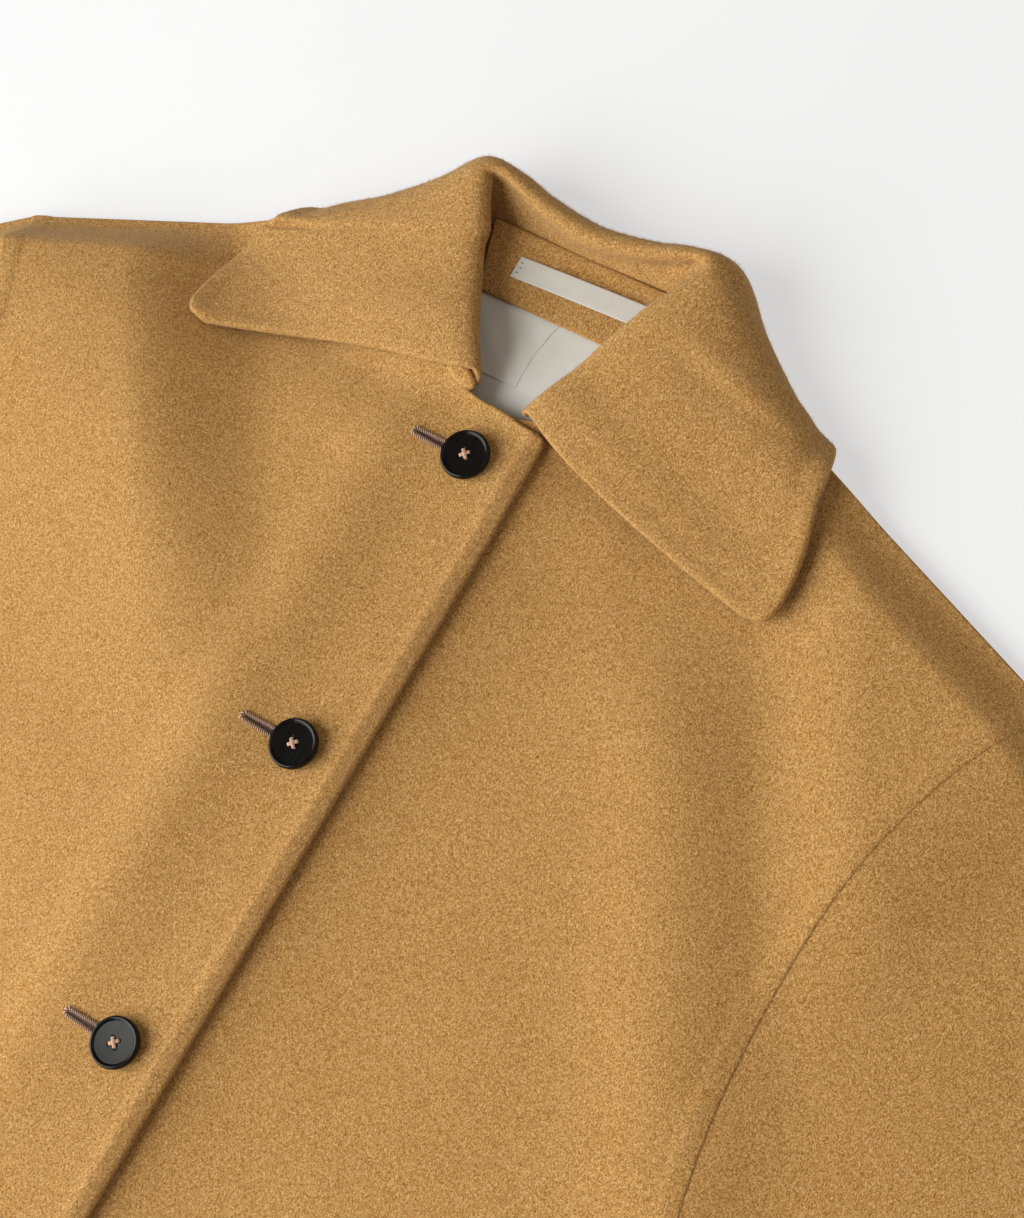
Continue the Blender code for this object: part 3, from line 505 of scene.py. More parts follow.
COLLAR_WALL, STAND_WALL, COLLAR_GAP = 0.0050, 0.0030, 0.0021
NECK_ROWS = np.array([row[:5] for row in LYING] + [row[:5] for row in TUCKED])
SHOULDER_ROW = 7


def neck_edge(first, last):
    """Neckline of the body at the collar's rows, just outside the collar's own wall."""
    rows = NECK_ROWS[first:last + 1]
    return rows[:, 0:2] + unit(rows[:, 0:2] - rows[:, 2:4]) * (COLLAR_WALL / 2 + 5 * SEAM_GAP)


def armhole(t):
    """Armhole seam from the shoulder tip (0) to the underarm (1)."""
    return bezier((SHOULDER_TIP, *ARM_PULLS, UNDERARM), t)


NECK_POINT = neck_edge(SHOULDER_ROW, SHOULDER_ROW)[0]
ARM_LINE = armhole(np.linspace(0, 1, 160))[::-1]

# %% Heights of the layers


def shoulder_y(x):
    """Height in plan of the shoulder seam, a straight line from the neck point to the shoulder tip."""
    slope = (SHOULDER_TIP[1] - NECK_POINT[1]) / (SHOULDER_TIP[0] - NECK_POINT[0])
    return NECK_POINT[1] + slope * (np.abs(x) - NECK_POINT[0])


def half_width(y):
    """Half width of the body: the armhole above the underarm, the side seam below it."""
    side = UNDERARM[0] + (HEM_HALF - UNDERARM[0]) * (UNDERARM[1] - y) / (UNDERARM[1] - HEM_Y)
    return np.where(y > UNDERARM[1], np.interp(y, ARM_LINE[:, 1], ARM_LINE[:, 0]), side)


def arm_distance(x, y):
    """Distance in plan from the armhole seam, to the nearest of its points."""
    flat = np.stack([np.abs(x).ravel(), y.ravel()], axis=-1)
    far = np.min(np.linalg.norm(flat[:, None] - ARM_LINE[None, ::2], axis=2), axis=1)
    return far.reshape(x.shape)


def back_under(x, y):
    """Underside of the back: on the floor, lifted over the tucked collar."""
    edge = TUCK_Y + TUCK_RISE * (np.abs(x) / TUCK_HALF) ** 4
    along = smooth(-LIFT_RUN, -LIFT_KEEP, y - edge)
    across = smooth(-LIFT_RUN_X, -LIFT_KEEP, TUCK_HALF - np.abs(x))
    return LIFT * along * across


def front_under(x, y):
    """Underside of a front: the back, the lining under it, its rolls and its rise to the armhole seam."""
    from_side = half_width(y) - np.abs(x)
    at_arm = smooth(UNDERARM[1], UNDERARM[1] + ARM_FADE, y)
    free = smooth(0.0, SIDE_FADE, from_side) * (1 - at_arm) + at_arm
    free = free * smooth(0.0, SHOULDER_FADE, shoulder_y(x) - y)
    rolls = ROLL_HIGH * bump(x, ROLL_AT + ROLL_LEAN * y, ROLL_WIDE) * smooth(0.0, -ROLL_FADE, y)
    for (foot, lean, run, high, low, top), side in zip(ARM_RISE, (x >= 0, x < 0)):
        start = foot + lean * y
        rolls = rolls + side * high * smooth(low, top, y) * smooth(start, start + run, np.abs(x))
    rolls = rolls + SWELL_HIGH * smooth(*SWELL_X, -x) * smooth(*SWELL_TOP, y) * smooth(*SWELL_LOW, y)
    lining = LINING_ONE * smooth(*LINING_ONE_Y, y) + LINING_TWO * smooth(*LINING_TWO_Y, y)
    lining = lining * smooth(*LINING_END_X, np.abs(x))
    left = np.clip((BULK_END - x) / (BULK_END - BULK_FULL), 0.0, 1.0) ** BULK_POWER
    bulk = BULK_HIGH * np.where(x > 0, left, smooth(-BULK_FAR, -BULK_FULL, x))
    return back_under(x, y) + WALL + LAYER_GAP + free * rolls + lining + bulk


def under_of(side, x, y):
    """Underside of the left front (side 1), or of the right front (side -1), which rides over the left."""
    over = (WALL + FRONT_GAP) * smooth(STEP_FROM, STEP_TO, x)
    return front_under(x, y) + (over if side < 0 else 0.0)


def wall_of(side, x):
    """Wall of a front: thicker along the right front's open edge, where the facing is turned under."""
    if side > 0:
        return np.full_like(x, WALL)
    return WALL + EDGE_EXTRA * smooth(EDGE_BAND, EDGE_FULL, np.minimum(EDGE_X - x, EDGE_BAND))


def front_top(side, x, y):
    """Face of a front: underside, wall and the raised band of the seam allowance along the armhole."""
    band = ARM_HIGH * smooth(ARM_BAND + ARM_STEP, ARM_BAND - ARM_STEP, arm_distance(x, y))
    return under_of(side, x, y) + wall_of(side, x) + band


# %% [markdown]
# ## Fronts, back and sleeves
# Each panel is cut from four curved edges. A Coons patch fills them with a grid: blend the two side edges,
# blend the low and top edges, add the two and take away the blend of the corners. Subdividing a coarse panel
# would round its corners off, so the fine grid is worked out straight from the edges.

# %% Panel plans
NECK_ARM = 0.42
SIDE_STEPS, EDGE_STEPS, NECK_STEPS = 66, 62, 90
# Top of the front edge, round its corner towards the collar
EDGE_CORNER = ((-EDGE_X, EDGE_TOP_Y), (-0.0220, EDGE_TOP_Y + 0.001), (-0.004, 0.0262))
NECK_CURVE = np.concatenate([EDGE_CORNER, neck_edge(0, SHOULDER_ROW)])
BACK_NECK_HALF = 0.130
ARM_PLACES = runs(1.0, (NECK_ARM, EDGE_STEPS), (0.0, NECK_STEPS))
COLS = runs(0.0, (0.042, 18), (0.80, 86), (1.0, 36))


def coons(left, right, low, top, u, v):
    """Grid between four edges: u runs along low and top, v along left and right."""
    u, v = u[:, None, None], v[None, :, None]
    corners = (1 - u) * (1 - v) * low[0] + u * (1 - v) * low[-1] + (1 - u) * v * top[0] + u * v * top[-1]
    return (1 - u) * left[None] + u * right[None] + (1 - v) * low[:, None] + v * top[:, None] - corners


def hem_y(x):
    """Hem, lifting towards the side seams with the square of the distance."""
    return HEM_Y + HEM_RISE * (np.abs(x) / HEM_HALF) ** 2


def side_line():
    """Side seam from the hem up, then the armhole seam up to the shoulder tip."""
    foot = np.array([HEM_HALF, hem_y(HEM_HALF)])
    seam = foot + (np.array(UNDERARM) - foot) * np.linspace(0, 1, SIDE_STEPS + 1)[:-1, None]
    return np.concatenate([seam, armhole(ARM_PLACES)])


def rise_of(line):
    """Share of the way up, from 0 to 1, of the points of a line."""
    return (line[:, 1] - line[0, 1]) / (line[-1, 1] - line[0, 1])


def front_plan():
    """Plan of the left front, from its open edge and the neckline to the side seam and the armhole."""
    right = side_line()
    low_rows = SIDE_STEPS + EDGE_STEPS
    edge_y = hem_y(EDGE_X) + (EDGE_TOP_Y - hem_y(EDGE_X)) * rise_of(right[:low_rows + 1])[:-1]
    neck = through(NECK_CURVE, np.linspace(0, len(NECK_CURVE) - 1, NECK_STEPS + 1))
    left = np.concatenate([np.stack([np.full_like(edge_y, -EDGE_X), edge_y], axis=1), neck])
    hem_x = -EDGE_X + (HEM_HALF + EDGE_X) * COLS
    low = np.stack([hem_x, hem_y(hem_x)], axis=1)
    top = NECK_POINT + (np.array(SHOULDER_TIP) - NECK_POINT) * COLS[:, None]
    return coons(left, right, low, top, COLS, rise_of(right))


def back_plan():
    """Plan of the back, from side seam to side seam, with the back neckline on top."""
    neck = through(neck_edge(SHOULDER_ROW, len(NECK_ROWS) - 1), np.linspace(0, 5, 21))[::-1]
    shares = np.linspace(0, 1, 41)
    shoulder = NECK_POINT + (np.array(SHOULDER_TIP) - NECK_POINT) * shares[1:, None]
    half_top = np.concatenate([neck, shoulder])
    half_x = np.concatenate([np.linspace(0, BACK_NECK_HALF, 21),
                             BACK_NECK_HALF + (HEM_HALF - BACK_NECK_HALF) * shares[1:]])
    half_low = np.stack([half_x, hem_y(half_x)], axis=1)
    flip = np.array([-1.0, 1.0])
    top = np.concatenate([(half_top * flip)[:0:-1], half_top])
    low = np.concatenate([(half_low * flip)[:0:-1], half_low])
    right = side_line()[::2]
    return coons(right * flip, right, low, top, np.linspace(0, 1, len(low)), rise_of(right))


def lifted(plan, z):
    """Plan points with their heights."""
    return np.concatenate([plan, z[..., None]], axis=-1)


def size_of(plan):
    """Width and length of a plan's box."""
    flat = plan.reshape(-1, 2)
    return flat.max(axis=0) - flat.min(axis=0)


# %% Back and fronts
plan = back_plan()
under = back_under(plan[..., 0], plan[..., 1])
back = closed_sheet("back_cloth", lifted(plan, under + WALL), lifted(plan, under), WOOL)
cloth_piece(back, "back", size_of(plan))

FRONT_PLAN = front_plan()
for word, side, lies_on in (("left", 1.0, "back_cloth"), ("right", -1.0, "front_left_cloth")):
    plan = FRONT_PLAN * np.array([side, 1.0])
    x, y = plan[..., 0], plan[..., 1]
    front = closed_sheet("front_%s_cloth" % word, lifted(plan, front_top(side, x, y)),
                         lifted(plan, under_of(side, x, y)), WOOL, rim_steps=8)
    cloth_piece(front, "front_" + word, size_of(plan))

# %% Sleeves
SLEEVE_FALL, SLEEVE_LONG, CUFF_WIDE = radians(40.0), 0.540, 0.160
SLEEVE_BOW, SLEEVE_PUFF, SLEEVE_BLEND = 0.010, 0.0024, 0.125
SLEEVE_AXIS = np.array([cos(SLEEVE_FALL), -sin(SLEEVE_FALL)])
SLEEVE_ACROSS = np.array([-sin(SLEEVE_FALL), -cos(SLEEVE_FALL)])


def sleeve_plan(rows, cols):
    """Plan of a sleeve laid flat: armhole seam to cuff, its long edges bowed by a parabola."""
    seam = armhole(rows)
    ahead = unit(np.gradient(seam, axis=0))
    arm = seam + SEAM_GAP * ahead[:, ::-1] * np.array([-1.0, 1.0])
    cuff = arm[0] + SLEEVE_LONG * SLEEVE_AXIS + CUFF_WIDE * rows[:, None] * SLEEVE_ACROSS
    bow = SLEEVE_BOW * 4 * (cols * (1 - cols))[:, None] * SLEEVE_ACROSS
    outer = arm[0] + (cuff[0] - arm[0]) * cols[:, None] - bow
    inner = arm[-1] + (cuff[-1] - arm[-1]) * cols[:, None] - bow
    return coons(arm, cuff, outer, inner, cols, rows), seam


def sleeve_level(side, seam, rows, cols):
    """Underside of the top half: level with the front at the seam, easing to a soft tube further out."""
    level = front_under(side * seam[:, 0], seam[:, 1])[None, :]
    flat = WALL + LAYER_GAP + SLEEVE_PUFF * np.sin(pi * rows)[None, :]
    return level + (flat - level) * smooth(0.0, SLEEVE_BLEND, cols)[:, None]


for word, side in (("left", 1.0), ("right", -1.0)):
    flip = np.array([side, 1.0])
    rows = ARM_PLACES[::-1]
    cols = runs(0.0, (0.08, 26), (1.0, 66))
    plan, seam = sleeve_plan(rows, cols)
    turned = np.stack([plan @ SLEEVE_AXIS, plan @ SLEEVE_ACROSS], axis=-1)
    z = sleeve_level(side, seam, rows, cols)
    low_plan, seam = sleeve_plan(rows[::3], cols[::2])
    zero = np.zeros(low_plan.shape[:2])
    low = closed_sheet("under_sleeve_%s_cloth" % word, lifted(low_plan * flip, zero + WALL),
                       lifted(low_plan * flip, zero), WOOL, rim_steps=4)
    cloth_piece(low, "under_sleeve_" + word, size_of(turned))
    top = closed_sheet("top_sleeve_%s_cloth" % word, lifted(plan * flip, z + WALL),
                       lifted(plan * flip, z), WOOL)
    cloth_piece(top, "top_sleeve_" + word, size_of(turned))

# %% [markdown]
# ## Collar
# The collar stands up at the neck seam, rolls over and falls on the fronts; round the back its fall is
# tucked under the coat. A table gives one section for every few centimetres of neckline. Each section is a
# B-spline, so the cloth rolls instead of creasing, and a cubic runs through the sections from one front end
# round to the other. The seam allowance inside the outer edge shows as a soft rib with a shallow valley.

# %% Collar sections
ROLL_IN, ROLL_OVER, ROLL_BACK, ROLL_UP, ROLL_DROP = 0.0012, 0.0085, 0.0045, 0.0008, 0.0090
UNDER_PART, BOW_RUN = 0.22, 0.045
NECK_SINK, NECK_Z_BACK, NECK_Z_MORE = 0.0030, 0.0095, 0.0040
STAND_BEND, STAND_BEND_BACK, STAND_RISE, STAND_LEAST = 0.60, 0.55, 0.80, 0.30
# Where the neck seam rises towards the sides, in Y, and where the roll over the fold narrows, in X
NECK_MORE_Y, ROLL_BACK_X = (0.109, 0.100), (0.070, 0.050)
# Share of the way from fold to edge, share of the fold's height that is kept there
FALL_LOFT = ((0.24, 0.72), (0.52, 0.42), (0.78, 0.16), (1.0, 0.0))
# Each half as it lies: rise of the point, bow of the front edge, how far its outer edge is drawn in, rise of
# the fold's front end, how far its fold lies out, how far its outer edge stands off the front
HALF_LIE = {-1.0: (0.0050, 0.0060, 0.0, 0.0030, 0.0030, 0.0),
            1.0: (-0.0045, -0.0030, 0.0040, -0.0035, 0.0, 0.0030)}


def lying_section(row, side):
    """Control points from the neck seam over the fold to the edge, where the fall lies on a front."""
    nx, ny, fx, fy, fz, ex, ey = row
    rise, bow, draw, end_rise, spread, stand_off = HALF_LIE[side]
    at_end = max(0.0, 1.0 - (fy - LYING[0][3]) / BOW_RUN)
    neck, edge = np.array([nx, ny + abs(end_rise) * at_end]), np.array([ex - draw, ey + rise])
    fold = np.array([fx + spread * (1.0 - at_end), fy + end_rise * at_end])
    reach = edge - fold
    out = unit(reach)
    bow = bow * at_end

    def rest(place):
        return float(under_of(side, np.array(place[0] * side), np.array(place[1]))) + WALL

    neck_z = rest(neck) - NECK_SINK
    lie = COLLAR_GAP + COLLAR_WALL / 2
    fold_z = max(fz, rest(fold + out * ROLL_OVER) + lie + ROLL_UP)
    low_z = max(fold_z - ROLL_DROP, neck_z + STAND_LEAST * (fold_z - neck_z))
    bend = neck + (fold - neck) * STAND_BEND
    points = [(*neck, neck_z), (*bend, neck_z + STAND_RISE * (low_z - neck_z)),
              (*(fold - out * ROLL_IN), low_z), (*(fold - out * ROLL_IN), fold_z),
              (*(fold + out * ROLL_OVER), fold_z + ROLL_UP)]
    for part, lofty in FALL_LOFT:
        place = fold + reach * part + np.array([0.0, bow * 4 * part * (1 - part)])
        level = rest(place) + lie + stand_off * part
        points.append((*place, level + lofty * max(0.0, fold_z - level)))
    return np.array(points)


def tucked_section(row):
    """Control points from the neck seam over the fold, where the fall turns under the back."""
    nx, ny, fx, fy, fz, wx, wy, wz, ex, ey, ez, reach, drop = row
    neck = np.array([nx, ny, NECK_Z_BACK + NECK_Z_MORE * float(smooth(*NECK_MORE_Y, ny))])
    fold, turn, edge = np.array([fx, fy, fz]), np.array([wx, wy, wz]), np.array([ex, ey, ez])
    out = unit((turn - fold) * np.array([1.0, 1.0, 0.0]))
    up = np.array([0.0, 0.0, 1.0])
    brow = fold + (turn - fold) * reach
    brow[2] = fz + (wz - fz) * drop
    under = turn + (edge - turn) * UNDER_PART
    under[2] = edge[2]
    over = ROLL_OVER + (ROLL_BACK - ROLL_OVER) * float(smooth(*ROLL_BACK_X, nx))
    stand = neck + (fold - neck) * np.array([STAND_BEND_BACK, STAND_BEND_BACK, 0.0])
    stand[2] = neck[2] + STAND_RISE * (fz - ROLL_DROP - neck[2])
    return np.array([neck, stand, fold - out * ROLL_IN - up * ROLL_DROP, fold - out * ROLL_IN,
                     fold + out * over + up * ROLL_UP, brow, turn, under, edge])


# %% Collar surface
STATIONS = 150
ACROSS = runs(0.0, (0.18, 10), (0.50, 44), (0.93, 44), (1.0, 14))
FOLD_KEEP = 0.30
# Rounding of the two front ends at the fold: depth, place and half width across, stations it fades over
END_ROUND, END_AT, END_WIDE, END_ROWS = 0.0032, 0.40, 0.170, 16
# Rib along the outer edge and the front ends: width, height, then place, half width, depth of the valley
RIB_WIDE, RIB_HIGH, VALLEY_AT, VALLEY_WIDE, VALLEY_DEEP = 0.0080, 0.0002, 0.0110, 0.0045, 0.0004
# Shares of the way across where the stand's wall becomes the fall's, and where the rib sets in
WALL_GROWS, RIB_FROM = (0.20, 0.50), (0.45, 0.60)


def collar_middle():
    """Middle surface of the collar: cubic along the sections, B-spline across them."""
    halves = {}
    for side in HALF_LIE:
        rows = [lying_section(row, side) for row in LYING] + [tucked_section(row) for row in TUCKED]
        halves[side] = np.array(rows) * np.array([side, 1.0, 1.0])
    rows = np.concatenate([halves[-1.0], halves[1.0][-2::-1]])
    half = (len(LYING) + len(TUCKED) - 1) * np.linspace(0, 1, STATIONS)
    sections = through(rows, np.concatenate([half, len(rows) - 1 - half[-2::-1]]))
    sheet = np.swapaxes(rounded(np.swapaxes(sections, 0, 1), ACROSS), 0, 1)
    far = np.minimum(np.arange(len(sheet)), np.arange(len(sheet))[::-1])
    fade = np.clip(1.0 - far / END_ROWS, 0.0, 1.0)[:, None, None] ** 2
    inward = np.concatenate([np.repeat(sheet[END_ROWS:END_ROWS + 1] - sheet[:1], STATIONS, axis=0),
                             np.repeat(sheet[-END_ROWS - 1:-END_ROWS] - sheet[-1:], STATIONS - 1, axis=0)])
    return sheet + fade * END_ROUND * bump(ACROSS, END_AT, END_WIDE)[None, :, None] * unit(inward)


def hollow_room(middle, normal, most):
    """How far a face may stand off the middle: less where that face is hollow and turns tightly."""
    room = most
    for axis in (0, 1):
        step = np.gradient(middle, axis=axis)
        bend = np.sum(np.gradient(normal, axis=axis) * step, axis=2) / np.sum(step * step, axis=2)
        room = np.where(bend < 0, np.minimum(room, FOLD_KEEP / np.maximum(-bend, 1e-6)), room)
    for axis in (0, 1):
        wide = np.pad(room, [(2, 2) if k == axis else (0, 0) for k in (0, 1)], mode="edge")
        shifted = [np.take(wide, range(k, room.shape[axis] + k), axis=axis) for k in range(5)]
        room = np.minimum.reduce(shifted)
    return room[..., None]


def edge_distance(middle):
    """Distance along the cloth to the outer edge or to a front end, whichever is nearer."""
    across = np.linalg.norm(np.diff(middle, axis=1), axis=2)[:, ::-1].cumsum(axis=1)[:, ::-1]
    across = np.concatenate([across, np.zeros((len(middle), 1))], axis=1)
    along = np.linalg.norm(np.diff(middle, axis=0), axis=2).cumsum(axis=0)
    along = np.concatenate([np.zeros((1, middle.shape[1])), along])
    return np.minimum(across, np.minimum(along, along[-1:] - along))


middle = collar_middle()
normal = unit(np.cross(np.gradient(middle, axis=0), np.gradient(middle, axis=1)))
normal = normal * np.sign(normal[10, -20, 2])
wall = STAND_WALL + (COLLAR_WALL - STAND_WALL) * smooth(*WALL_GROWS, ACROSS)
half = np.broadcast_to(wall, middle.shape[:2]) / 2
far = edge_distance(middle)
on_fall = smooth(*RIB_FROM, ACROSS)[None, :]
rib = RIB_HIGH * smooth(RIB_WIDE, 0.5 * RIB_WIDE, far) - VALLEY_DEEP * bump(far, VALLEY_AT, VALLEY_WIDE)
face = middle + normal * (hollow_room(middle, normal, half) + (rib * on_fall)[..., None])
inside = middle - normal * hollow_room(middle, -normal, half)
collar = closed_sheet("collar_cloth", face, inside, WOOL, bulge=0.8, rim_steps=8)
neck_long = np.linalg.norm(np.diff(middle, axis=0), axis=2).sum(axis=0).max()
fall_wide = np.linalg.norm(np.diff(middle, axis=1), axis=2).sum(axis=1).max()
cloth_piece(collar, "collar", (neck_long, fall_wide))

# %% End of the collar stand
# The stand's end on the wearer's right shows below the fold's front end as a small soft tab: middle, turn,
# half length, half width, height
TAB_MIDDLE, TAB_TURN, TAB_LONG, TAB_WIDE, TAB_HIGH = (-0.0235, 0.0345), -0.34, 0.0105, 0.0046, 0.0024
TAB_RINGS, TAB_SIDES = 12, 48
ring = np.linspace(0, 1, TAB_RINGS + 1)[:, None]
angle = np.linspace(0, 2 * pi, TAB_SIDES + 1)[None, :-1]
along, beside = TAB_LONG * ring * np.cos(angle), TAB_WIDE * ring * np.sin(angle)
x = TAB_MIDDLE[0] + along * cos(TAB_TURN) - beside * sin(TAB_TURN)
y = TAB_MIDDLE[1] + along * sin(TAB_TURN) + beside * cos(TAB_TURN)
foot = front_top(-1.0, x, y)
crown = np.stack([x, y, foot + TAB_HIGH * np.sqrt(np.clip(1 - ring ** 4, 0, 1))], axis=-1)
sole = np.stack([x, y, foot + 0 * ring], axis=-1)
rings = [crown[0, :1], *crown[1:], *sole[TAB_RINGS - 1:0:-1], sole[0, :1]]
tab = put_mesh("collar_stand_end", *ringed(rings), WOOL)
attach(tab, "root")

# %% [markdown]
# ## Inside the neck
# Between the collar's two halves the inside of the back shows: a wool facing, satin lining with a yoke seam
# and a centre pleat, and a plain tape to hang the coat by. They are thin flat sheets one over another, each a
# grid with a wall, and the tape is arched a little because only its ends are sewn down.

# %% Lining, facing and tape
LINING_WALL, FACING_WALL, TAPE_WALL, THIN_GAP = 0.00035, 0.0025, 0.0005, 0.00005
FACING_LOW_Y, FACING_HALF_LOW, FACING_HALF_TOP = 0.0805, 0.044, 0.055
FACING_MORE, FACING_PUFF, FACING_TURN = 0.0050, 0.0008, 0.0012
YOKE_LOW_Y, YOKE_UNDER = 0.0430, 0.006
PLEAT_OVER, PLEAT_TOP_X, PLEAT_LOW_X, PLEAT_SWEEP = 0.012, 0.0045, -0.0010, -0.0022
LINING_LOW_Y, LINING_RIGHT, LINING_LEFT = 0.004, (0.040, 0.052), (0.017, 0.045)
TAPE_LEFT, TAPE_RIGHT, TAPE_WIDE, TAPE_Y = -0.0320, 0.0490, 0.0112, 0.0980
TAPE_TURN, TAPE_ARCH = 0.04, 0.0009
# Lift of the lining off the back in layer gaps; ripple: height, radians a metre along X
# and Y in one sine, and along Y in the other
BODY_LIFT, SATIN_WAVE, WAVE_X, WAVE_Y, WAVE_CROSS = 3.2, 0.00025, 310, 120, 260


def neck_grid(left, right, low, high, cells_x, cells_y):
    """Plan grid with sloping sides; left and right are given at the low and the high end."""
    u, v = np.linspace(0, 1, cells_x + 1)[:, None], np.linspace(0, 1, cells_y + 1)[None, :]
    x0, x1 = left[0] + (left[1] - left[0]) * v, right[0] + (right[1] - right[0]) * v
    return np.stack([x0 + (x1 - x0) * u, (low + (high - low) * v) * np.ones_like(u)], axis=-1)


def inner_sheet(name, plan, above, wall, material, extra=0.0, bulge=1.0):
    """Thin sheet lying over the back by a height."""
    z = back_under(plan[..., 0], plan[..., 1]) + WALL + above + extra
    return closed_sheet(name, lifted(plan, z + wall), lifted(plan, z), material, bulge=bulge, rim_steps=4)


def ripple(plan):
    """Slow ripple of satin: two sines that cross."""
    x, y = plan[..., 0], plan[..., 1]
    return SATIN_WAVE * np.sin(x * WAVE_X + y * WAVE_Y) * np.sin(y * WAVE_CROSS + 1.0)


over_body = BODY_LIFT * LAYER_GAP
over_yoke = over_body + LINING_WALL + THIN_GAP
over_lap = over_yoke + LINING_WALL + THIN_GAP
over_facing = over_lap + LINING_WALL + SEAM_GAP
over_tape = over_facing + FACING_WALL + FACING_PUFF + SEAM_GAP
yoke_top = FACING_LOW_Y + YOKE_UNDER
right_x, left_x = LINING_RIGHT[0], LINING_LEFT[0]
plan = neck_grid((-right_x, -right_x), (left_x, left_x), LINING_LOW_Y, YOKE_LOW_Y + YOKE_UNDER, 60, 50)
lining = inner_sheet("lining_body_satin", plan, over_body, LINING_WALL, SATIN)
cloth_piece(lining, "lining_body", size_of(plan))
plan = neck_grid((PLEAT_LOW_X - PLEAT_OVER, PLEAT_TOP_X - PLEAT_OVER), LINING_LEFT,
                 YOKE_LOW_Y, yoke_top, 60, 50)
yoke = inner_sheet("lining_yoke_left_satin", plan, over_yoke, LINING_WALL, SATIN)
cloth_piece(yoke, "lining_yoke_left", size_of(plan))
plan = neck_grid((-LINING_RIGHT[0], -LINING_RIGHT[1]), (PLEAT_LOW_X, PLEAT_TOP_X),
                 YOKE_LOW_Y, yoke_top, 60, 50)
u, v = np.linspace(0, 1, 61)[:, None], np.linspace(0, 1, 51)[None, :]
plan[..., 0] += PLEAT_SWEEP * u ** 3 * np.sin(pi * v)
yoke = inner_sheet("lining_yoke_right_satin", plan, over_lap, LINING_WALL, SATIN, extra=ripple(plan))
cloth_piece(yoke, "lining_yoke_right", size_of(plan))
neck_y = float(neck_edge(len(NECK_ROWS) - 1, len(NECK_ROWS) - 1)[0][1])
plan = neck_grid((-FACING_HALF_LOW, -FACING_HALF_TOP), (FACING_HALF_LOW, FACING_HALF_TOP),
                 FACING_LOW_Y, neck_y + FACING_MORE, 90, 30)
share = np.linspace(0, 1, 31)[None, :]
puff = FACING_PUFF * np.sin(pi * share) ** 0.7 + FACING_TURN * smooth(0.82, 1.0, share)
# The facing wears the darkened copy of the wool, which is painted shade.
facing = inner_sheet("back_neck_facing_wool", plan, over_facing, FACING_WALL, WOOL_PAINTED_SHADE, extra=puff)
cloth_piece(facing, "back_neck_facing", size_of(plan))
plan = neck_grid((TAPE_LEFT, TAPE_LEFT), (TAPE_RIGHT, TAPE_RIGHT),
                 TAPE_Y - TAPE_WIDE / 2, TAPE_Y + TAPE_WIDE / 2, 90, 14)
share = (plan[..., 0] - TAPE_LEFT) / (TAPE_RIGHT - TAPE_LEFT)
plan[..., 1] += TAPE_TURN * plan[..., 0]
arch = TAPE_ARCH * np.sin(pi * share) ** 0.5
tape = inner_sheet("hanger_tape_woven", plan, over_tape, TAPE_WALL, TAPE, extra=arch)
cloth_piece(tape, "hanger_tape", size_of(plan))

# %% Tape stitches
# Stitches that hold the tape's left end: distance from the end, spacing, half length, radius
STITCH_IN, STITCH_STEP, STITCH_HALF, STITCH_R, STITCH_COUNT = 0.0022, 0.0027, 0.00055, 0.00022, 3
tape_z = float(back_under(np.array(TAPE_LEFT), np.array(TAPE_Y))) + WALL + over_tape + TAPE_WALL
parts = []
for k in range(STITCH_COUNT):
    t = np.linspace(-1, 1, 9)
    x = TAPE_LEFT + STITCH_IN + 0.25 * STITCH_STEP * (k % 2) + STITCH_HALF * t
    y = TAPE_Y + TAPE_TURN * x + STITCH_STEP * (k - (STITCH_COUNT - 1) / 2)
    z = tape_z + arch[3, 0] + STITCH_R * (1.0 - 2.0 * t ** 2)
    parts.append(tube(np.stack([x, y, z], axis=-1), np.array([0.0, 0.0, 1.0]), STITCH_R, 8))
stitches = put_mesh("tape_stitches", *joined(parts), BLACK_THREAD)
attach(stitches, "root")
print("tape stitches:", STITCH_COUNT)

# %% [markdown]
# ## Buttons, threads and buttonholes
# A coat button is turned on a lathe: a profile carried round a circle, then four holes drilled. The thread
# crosses the holes twice. A tailor's keyhole buttonhole is a slit with a cord sewn round its edge, so it is a
# profile with two twisted ridges carried along a long loop.

# %% Buttons
BUTTON_COUNT = 4
HOLE_OFF, HOLE_R, DRILL_LONG = 0.0019, 0.0010, 0.020
# Turned outline from the middle of the face round to the back: radius, height
BUTTON_LINE = ((0.0000, 0.0036), (0.0090, 0.0037), (0.0101, 0.0038), (0.0106, 0.0044), (0.0114, 0.0047),
               (0.0121, 0.0042), (0.0125, 0.0028), (0.0121, 0.0012), (0.0105, 0.0003), (0.0000, 0.0000))
TURN_STEPS = 96


def turned_points():
    """Profile carried round a circle: radius x cosine, radius x sine, height; a pole at each end."""
    line = through(BUTTON_LINE, np.linspace(0, len(BUTTON_LINE) - 1, 73))[1:-1]
    angle = 2 * pi * np.arange(TURN_STEPS) / TURN_STEPS
    ring = np.stack([np.cos(angle), np.sin(angle)], axis=-1)
    heights = np.repeat(line[:, 1:, None], TURN_STEPS, axis=1)
    body = np.concatenate([line[:, :1, None] * ring[None], heights], axis=2)
    poles = np.array([(0.0, 0.0, BUTTON_LINE[0][1]), (0.0, 0.0, BUTTON_LINE[-1][1])])
    index = np.arange(len(line) * TURN_STEPS).reshape(len(line), TURN_STEPS)
    wrap = np.concatenate([index, index[:, :1]], axis=1)
    first, last = index.size, index.size + 1
    caps = [np.stack([np.full(TURN_STEPS, first), wrap[0, 1:], wrap[0, :-1]], axis=1),
            np.stack([np.full(TURN_STEPS, last), wrap[-1, :-1], wrap[-1, 1:]], axis=1)]
    return np.concatenate([body.reshape(-1, 3), poles]), [cells_of(wrap), *caps]


